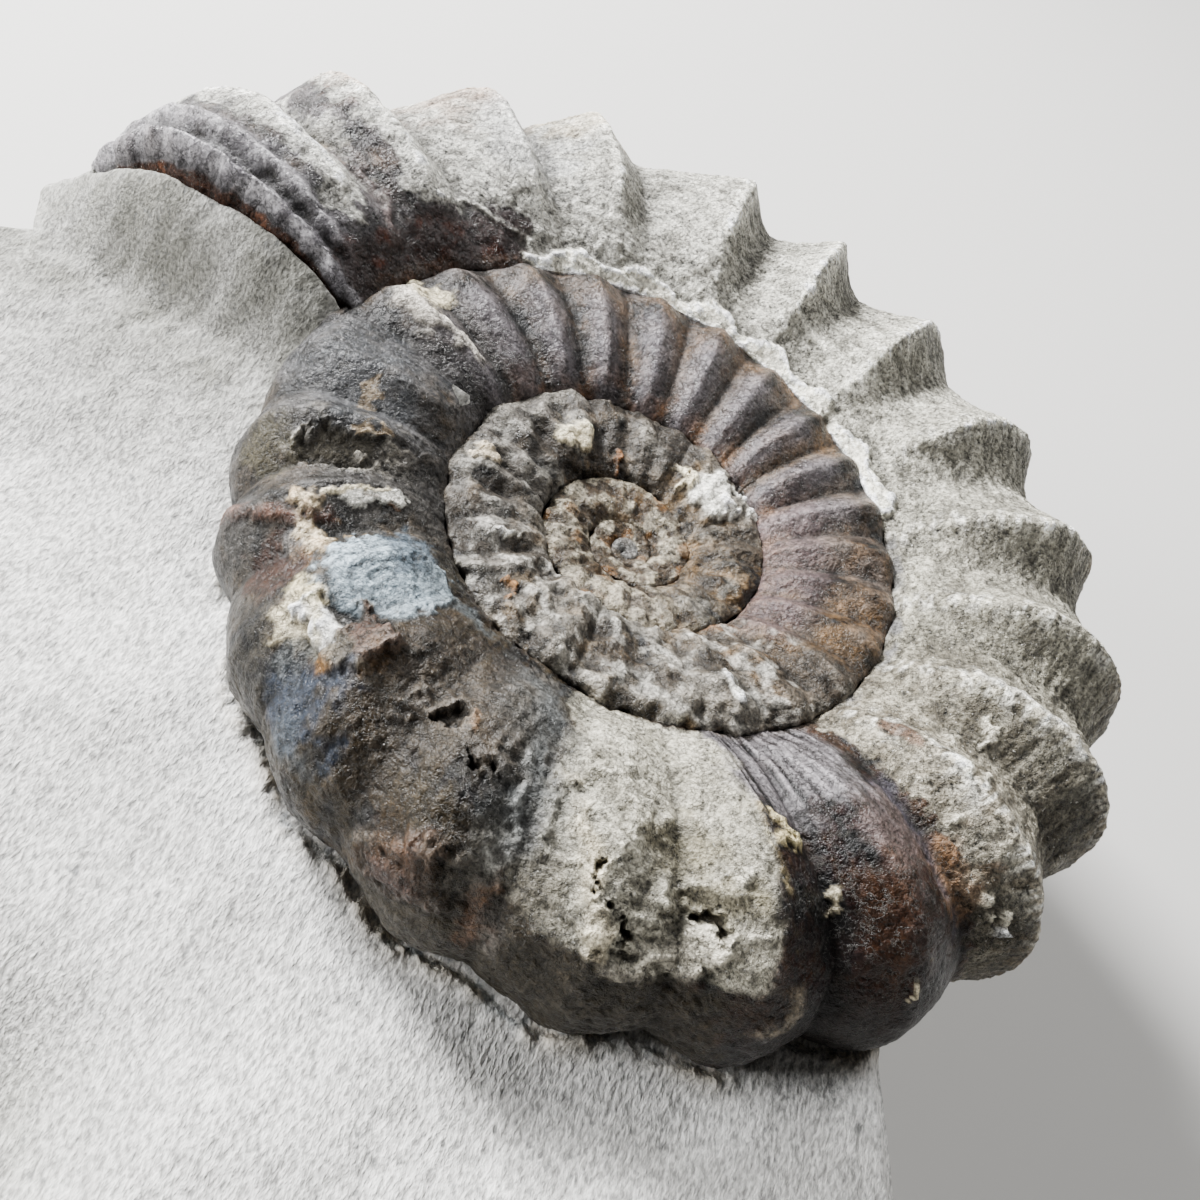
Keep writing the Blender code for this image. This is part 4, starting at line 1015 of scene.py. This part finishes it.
def rock_columns(angle, turn, edge):
    """Radius and height of every point of the block, from the hub over the face and down the side."""
    size, contact = venter_radius(turn), contact_radius(turn)
    start = np.minimum(contact - 1.0 * MM, 0.8 * edge)
    inner_rows = np.linspace(0.1, 1.0, HUB_ROWS)[:-1]
    face_rows = np.linspace(0.0, 1.0, FACE_ROWS)
    face_rows = 0.35 * face_rows + 0.65 * face_rows ** 2
    side_rows = np.linspace(0.0, 1.0, SIDE_ROWS)[1:]
    radius = np.concatenate([start[:, None] * inner_rows,
                             start[:, None] + (edge - start)[:, None] * face_rows], axis=1)
    full = np.broadcast_to(angle[:, None], radius.shape)
    x, y = radius * np.cos(full), radius * np.sin(full)
    spot = np.stack([x, y, 0.0 * x], axis=-1)
    hollow = np.hypot(x - HOLLOW_CENTRE[0], y - HOLLOW_CENTRE[1]) / HOLLOW_RADIUS
    level = ROCK_LEVEL + FACE_LUMPS * lumps(x, y, LUMP_LENGTH)
    level -= HOLLOW_DEPTH * (1.0 - smoothstep(hollow))
    level -= EDGE_DROP * (1.0 - smoothstep((edge[:, None] - radius) / EDGE_WIDTH))
    top, filled = plug_top(full, radius)
    ragged = layered(spot, 1.6 * MM, 4, seed=23, fade=0.65)
    beside = (radius - contact[:, None]) / MM + 0.35 * ragged
    moat = bell(beside, 0.35, 0.45) * (1.0 - filled)
    rim = bell(beside, 1.3, 0.5) * (1.0 - filled) * np.clip(0.6 + 1.5 * ragged, 0.0, 1.5)
    level += MM * (0.30 * rim - 0.22 * moat)
    level += (top - level) * filled
    level += 0.12 * MM * layered(spot, 3.0 * MM, 5, seed=21, fade=0.65) * (1.0 + 1.2 * filled)
    crumbs = layered(spot, 0.9 * MM, 3, seed=25, fade=0.8)
    level += 0.07 * MM * crumbs * (filled + bell(beside, 0.8, 0.9))
    under = underside(np.broadcast_to(turn[:, None], radius.shape), radius)
    covered = radius < contact[:, None] - 0.25 * MM
    below = ROCK_LEVEL - 0.6 * MM - 0.8 * (contact[:, None] - radius)
    level = np.where(covered & (filled < 0.02), np.minimum(level, np.maximum(below, under + 0.3 * MM)), level)
    level = np.where(radius < 0.5 * size[:, None], np.minimum(level, under + 0.3 * MM), level)

    edge_level = level[:, -1:]
    height = edge_level + (-MID_PLANE - edge_level) * side_rows
    side_angle = np.broadcast_to(angle[:, None], height.shape)
    side_edge = np.broadcast_to(edge[:, None], height.shape)
    side_radius = side_edge * (1.0 + (FOOT_SHARE - 1.0) * side_rows)
    around = np.stack([side_radius * np.cos(side_angle), side_radius * np.sin(side_angle), height], axis=-1)
    swell = np.sin(math.pi * side_rows)
    side_radius = side_radius + swell * SIDE_LUMPS * lumps(side_edge * side_angle, height, LUMP_LENGTH)
    side_radius = side_radius + swell ** 0.5 * PEBBLES * layered(around, 4.0 * MM, 5, seed=31, fade=0.65)

    tint = rock_tint(spot, beside, filled, hollow, ragged, crumbs)
    side_tint = np.broadcast_to(np.array(ROCK_SIDE), height.shape + (3,))
    side_tint = side_tint * (1.0 + 0.4 * layered(around, 3.0 * MM, 4, seed=33, fade=0.7))[..., None]
    return (np.concatenate([radius, side_radius], axis=1), np.concatenate([level, height], axis=1),
            np.concatenate([tint, side_tint], axis=1))


def rock_tint(spot, beside, filled, hollow, ragged, crumbs):
    """Colour of the face: pale, darker in the filling and hollow, partly painted shade, and stained along the
    shell.
    """
    broad = layered(spot, 9.0 * MM, 3, seed=27)
    small = layered(spot, 2.2 * MM, 4, seed=28, fade=0.7)
    tint = np.array(ROCK_PALE) * (1.0 + 0.10 * broad + 0.14 * small)[..., None]
    # The hollow and the filling are darkened, partly as painted shade
    tint = blend(tint, HOLLOW_GREY_AND_SHADE, (0.9 + 0.5 * small) * (1.0 - smoothstep(hollow)))
    tint = blend(tint, FILLING_GREY_AND_SHADE, filled * (0.85 + 0.4 * small))
    bare = 1.0 - filled
    tint = blend(tint, ROCK_BRIGHT, 0.5 * bell(beside, 3.0, 1.8) * bare)
    stained = bell(beside, 0.9, 0.8) * bare * np.clip(0.55 + 1.4 * ragged, 0.0, 1.0)
    tint = blend(tint, CONTACT_BROWN, 0.75 * stained)
    blue = bell(beside, 0.5, 0.6) * bare * np.clip(1.6 * crumbs, 0.0, 1.0)
    tint = blend(tint, CONTACT_BLUE, 0.8 * blue)
    # A thin painted shadow line where the face meets the shell
    return np.clip(blend(tint, CONTACT_SHADOW, 0.5 * bell(beside, 0.05, 0.2) * bare), 0.01, 0.9)


def build_rock(material):
    """The block, with its rays closer together on the side that the shell leaves open."""
    mouth = angle_at(MOUTH_TURN)
    seen = np.linspace(mouth + math.radians(0.3), mouth + math.radians(158), SEEN_RAYS)
    hidden = np.linspace(mouth + math.radians(159), mouth + math.radians(360), HIDDEN_RAYS)
    angle = np.concatenate([seen, hidden])
    turn = MOUTH_TURN - (mouth - angle) / (2.0 * math.pi) % 1.0
    radius, height, tint = rock_columns(angle, turn, outline_radius(angle))
    points = np.stack([radius * np.cos(angle)[:, None], radius * np.sin(angle)[:, None],
                       MID_PLANE + height], axis=-1)
    rows, columns = points.shape[:2]
    column = np.arange(columns - 1)
    last = (rows - 1) * columns
    quads = np.concatenate([grid_faces(rows, columns, False),
                            np.column_stack([last + column, last + column + 1, column + 1, column])])
    ray = np.arange(rows)
    after = (ray + 1) % rows
    hub = np.column_stack([np.full(rows, rows * columns), ray * columns, after * columns])
    foot = np.column_stack([np.full(rows, rows * columns + 1), after * columns + columns - 1,
                            ray * columns + columns - 1])
    flat = np.concatenate([points.reshape(-1, 3), [[0.0, 0.0, MID_PLANE + HUB_LEVEL], [0.0, 0.0, 0.0]]])
    tints = np.concatenate([tint.reshape(-1, 3), np.full((2, 3), 0.5)])
    return add_mesh("limestone_block", flat, [quads, hub, foot], None, {"tint": tints}, material)


class Nodes:
    """A short way to build a material's node tree."""

    def __init__(self, name):
        self.material = bpy.data.materials.new(name)
        self.material.use_nodes = True
        self.tree = self.material.node_tree
        self.shader = self.tree.nodes["Principled BSDF"]

    def add(self, kind, inputs=None, **settings):
        node = self.tree.nodes.new(kind)
        for key, value in settings.items():
            setattr(node, key, value)
        for key, value in (inputs or {}).items():
            if isinstance(value, bpy.types.NodeSocket):
                self.tree.links.new(value, node.inputs[key])
            else:
                node.inputs[key].default_value = value
        return node

    def link(self, socket, name):
        self.tree.links.new(socket, self.shader.inputs[name])

    def field(self, name, output="Fac"):
        return self.add("ShaderNodeAttribute", attribute_name=name).outputs[output]

    def speckle(self, place, length, detail=4.0, roughness=0.65):
        """Noise from 0 to 1 with features of about this length."""
        inputs = {"Vector": place, "Scale": 1.0 / length, "Detail": detail, "Roughness": roughness}
        return self.add("ShaderNodeTexNoise", inputs).outputs["Fac"]

    def remap(self, value, low, high, to_low=0.0, to_high=1.0):
        inputs = {"Value": value, "From Min": low, "From Max": high, "To Min": to_low, "To Max": to_high}
        return self.add("ShaderNodeMapRange", inputs).outputs["Result"]

    def times(self, first, second):
        return self.add("ShaderNodeMath", {0: first, 1: second}, operation="MULTIPLY").outputs[0]

    def plus(self, first, second):
        return self.add("ShaderNodeMath", {0: first, 1: second}, operation="ADD").outputs[0]

    def scaled(self, colour, factor):
        return self.add("ShaderNodeVectorMath", {0: colour, "Scale": factor}, operation="SCALE").outputs[0]

    def mix(self, share, first, second):
        node = self.add("ShaderNodeMix", data_type="RGBA")
        for index, value in ((0, share), (6, first), (7, second)):
            if isinstance(value, bpy.types.NodeSocket):
                self.tree.links.new(value, node.inputs[index])
            else:
                node.inputs[index].default_value = value
        return node.outputs[2]

    def thin_lines(self, value, width):
        """1 along the winding lines where the noise passes its middle value."""
        return self.times(self.remap(value, 0.5 - width, 0.5), self.remap(value, 0.5 + width, 0.5))

    def bump(self, height, distance):
        inputs = {"Height": height, "Distance": distance, "Strength": 1.0}
        self.link(self.add("ShaderNodeBump", inputs).outputs["Normal"], "Normal")


def fossil_material():
    """Shell, stone and calcite alike: grain makes the surface crumbly and flecked, gloss smooth."""
    nodes = Nodes("fossil_shell")
    place = nodes.add("ShaderNodeTexCoord").outputs["Object"]
    grain, gloss = nodes.field("grain"), nodes.field("gloss")
    fine = nodes.speckle(place, 0.24 * MM, 3.0, 0.7)
    coarse = nodes.speckle(place, 0.9 * MM, 4.0, 0.65)
    rough_share = nodes.remap(grain, 0.0, 1.0, 0.6, 1.0)
    shade = nodes.times(nodes.remap(fine, 0.35, 0.65, -0.75, 0.75), rough_share)
    shade = nodes.plus(shade, nodes.remap(coarse, 0.3, 0.7, 0.7, 1.35))
    colour = nodes.scaled(nodes.field("tint", "Color"), shade)
    # Thin winding lines like flake edges: raised in the bump and painted lighter as highlight
    edges = nodes.thin_lines(nodes.speckle(place, 1.3 * MM, 5.0, 0.62), 0.012)
    edges = nodes.plus(edges, nodes.thin_lines(nodes.speckle(place, 2.9 * MM, 6.0, 0.62), 0.006))
    highlight_line_share = nodes.times(edges, nodes.remap(grain, 0.2, 0.5, 0.04, 0.16))
    colour = nodes.mix(highlight_line_share, colour, (0.62, 0.60, 0.54, 1.0))
    flecks = nodes.remap(nodes.speckle(place, 0.22 * MM, 2.0), 0.66, 0.72)
    flecks = nodes.times(flecks, nodes.remap(grain, 0.5, 1.0, 0.06, 0.75))
    colour = nodes.mix(flecks, colour, (0.72, 0.70, 0.64, 1.0))
    pits = nodes.remap(nodes.speckle(place, 0.36 * MM, 3.0), 0.37, 0.30)
    pits = nodes.times(pits, nodes.remap(grain, 0.0, 1.0, 0.4, 0.75))
    nodes.link(nodes.mix(pits, colour, (0.02, 0.017, 0.012, 1.0)), "Base Color")
    roughness = nodes.remap(gloss, 0.0, 1.0, 0.75, 0.14)
    nodes.link(nodes.plus(roughness, nodes.remap(coarse, 0.3, 0.7, -0.08, 0.12)), "Roughness")
    nodes.shader.inputs["Specular IOR Level"].default_value = 0.20
    relief = nodes.plus(nodes.times(fine, nodes.remap(grain, 0.4, 1.0, 0.25, 0.8)), coarse)
    relief = nodes.plus(relief, nodes.times(edges, 0.35))
    nodes.bump(relief, 0.32 * MM)
    return nodes.material


def limestone_material():
    """Salt-and-pepper grains, drawn out along the way the face was worked."""
    nodes = Nodes("pale_limestone")
    place = nodes.add("ShaderNodeTexCoord").outputs["Object"]
    turned = nodes.add("ShaderNodeMapping", {"Vector": place, "Rotation": (0.0, 0.0, GRAIN_ANGLE),
                                             "Scale": (1.0, GRAIN_STRETCH, 1.0)}).outputs["Vector"]
    fine = nodes.speckle(turned, 0.20 * MM, 2.0, 0.6)
    coarse = nodes.speckle(turned, 1.0 * MM, 4.0, 0.7)
    shade = nodes.plus(nodes.remap(fine, 0.35, 0.65, -0.42, 0.42), nodes.remap(coarse, 0.3, 0.7, 0.82, 1.18))
    colour = nodes.scaled(nodes.field("tint", "Color"), shade)
    pepper = nodes.remap(nodes.speckle(turned, 0.34 * MM, 2.0, 0.6), 0.61, 0.70)
    colour = nodes.mix(nodes.times(pepper, 0.55), colour, (0.10, 0.105, 0.105, 1.0))
    specks = nodes.remap(nodes.speckle(place, 2.4 * MM, 3.0, 0.75), 0.67, 0.73)
    colour = nodes.mix(nodes.times(specks, 0.7), colour, (0.13, 0.135, 0.14, 1.0))
    nodes.link(colour, "Base Color")
    nodes.shader.inputs["Roughness"].default_value = 0.85
    nodes.shader.inputs["Specular IOR Level"].default_value = 0.3
    nodes.bump(nodes.plus(fine, coarse), 0.12 * MM)
    return nodes.material


def add_camera():
    level_right = Vector((math.cos(CAMERA_YAW), math.sin(CAMERA_YAW), 0.0))
    forward = Vector((-math.sin(CAMERA_YAW) * math.cos(CAMERA_PITCH),
                      math.cos(CAMERA_YAW) * math.cos(CAMERA_PITCH), -math.sin(CAMERA_PITCH)))
    level_up = level_right.cross(forward)
    right = math.cos(CAMERA_ROLL) * level_right + math.sin(CAMERA_ROLL) * level_up
    up = -math.sin(CAMERA_ROLL) * level_right + math.cos(CAMERA_ROLL) * level_up
    centre = Vector((0.0, 0.0, MID_PLANE))
    place = centre + CAMERA_DISTANCE * Vector((0.0, -math.cos(CAMERA_ELEVATION), math.sin(CAMERA_ELEVATION)))
    data = bpy.data.cameras.new("camera")
    data.lens = 36.0
    data.sensor_width = 36.0
    data.clip_start = 1.0 * MM
    camera = bpy.data.objects.new("camera", data)
    camera.matrix_world = Matrix((
        (right.x, up.x, -forward.x, place.x),
        (right.y, up.y, -forward.y, place.y),
        (right.z, up.z, -forward.z, place.z),
        (0.0, 0.0, 0.0, 1.0),
    ))
    bpy.context.collection.objects.link(camera)
    bpy.context.scene.camera = camera


def add_area_light(name, place, target, size, power):
    data = bpy.data.lights.new(name, "AREA")
    data.size = size
    data.energy = power
    light = bpy.data.objects.new(name, data)
    light.location = place
    light.rotation_euler = (Vector(target) - Vector(place)).to_track_quat("-Z", "Y").to_euler()
    bpy.context.collection.objects.link(light)


def add_studio():
    mesh = bpy.data.meshes.new("floor")
    half = 1.5
    mesh.from_pydata([(-half, -half, 0), (half, -half, 0), (half, half, 0), (-half, half, 0)], [],
                     [(0, 1, 2, 3)])
    floor = bpy.data.objects.new("floor", mesh)
    nodes = Nodes("floor")
    nodes.shader.inputs["Base Color"].default_value = (0.62, 0.61, 0.59, 1.0)
    nodes.shader.inputs["Roughness"].default_value = 0.8
    mesh.materials.append(nodes.material)
    bpy.context.collection.objects.link(floor)
    target = (0.0, 0.0, MID_PLANE)
    add_area_light("key", (-0.34, 0.20, 0.28), target, 0.12, 10.5)
    add_area_light("fill", (-0.42, -0.16, 0.20), target, 0.20, 3.4)
    add_area_light("top", (0.14, 0.26, 0.40), target, 0.16, 1.6)
    world = bpy.data.worlds.new("studio")
    world.use_nodes = True
    world.node_tree.nodes["Background"].inputs["Color"].default_value = (1.0, 0.98, 0.95, 1.0)
    world.node_tree.nodes["Background"].inputs["Strength"].default_value = 0.07
    bpy.context.scene.world = world


def attach(piece, node):
    """Ties a piece to the solid that it stands for."""
    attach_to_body(piece, "root")
    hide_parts(node)


def build_ammonite(material):
    outer = outer_whorl()
    normals = grid_normals(outer.points())
    rows = len(outer.turn)
    cuts = [0, rows // 3, 2 * rows // 3, rows - 1]
    for part, (first, last) in enumerate(zip(cuts, cuts[1:])):
        piece = add_tube(f"outer_whorl_part_{part + 1}", outer, first, last, material, normals)
        attach(piece, "ammonite")
    inner = inner_whorls()
    normals = grid_normals(inner.points())
    attach(add_tube("inner_whorls", inner, 0, len(inner.turn) - 1, material, normals), "ammonite")


build_ammonite(fossil_material())
attach(build_rock(limestone_material()), "rock")
add_studio()
add_camera()
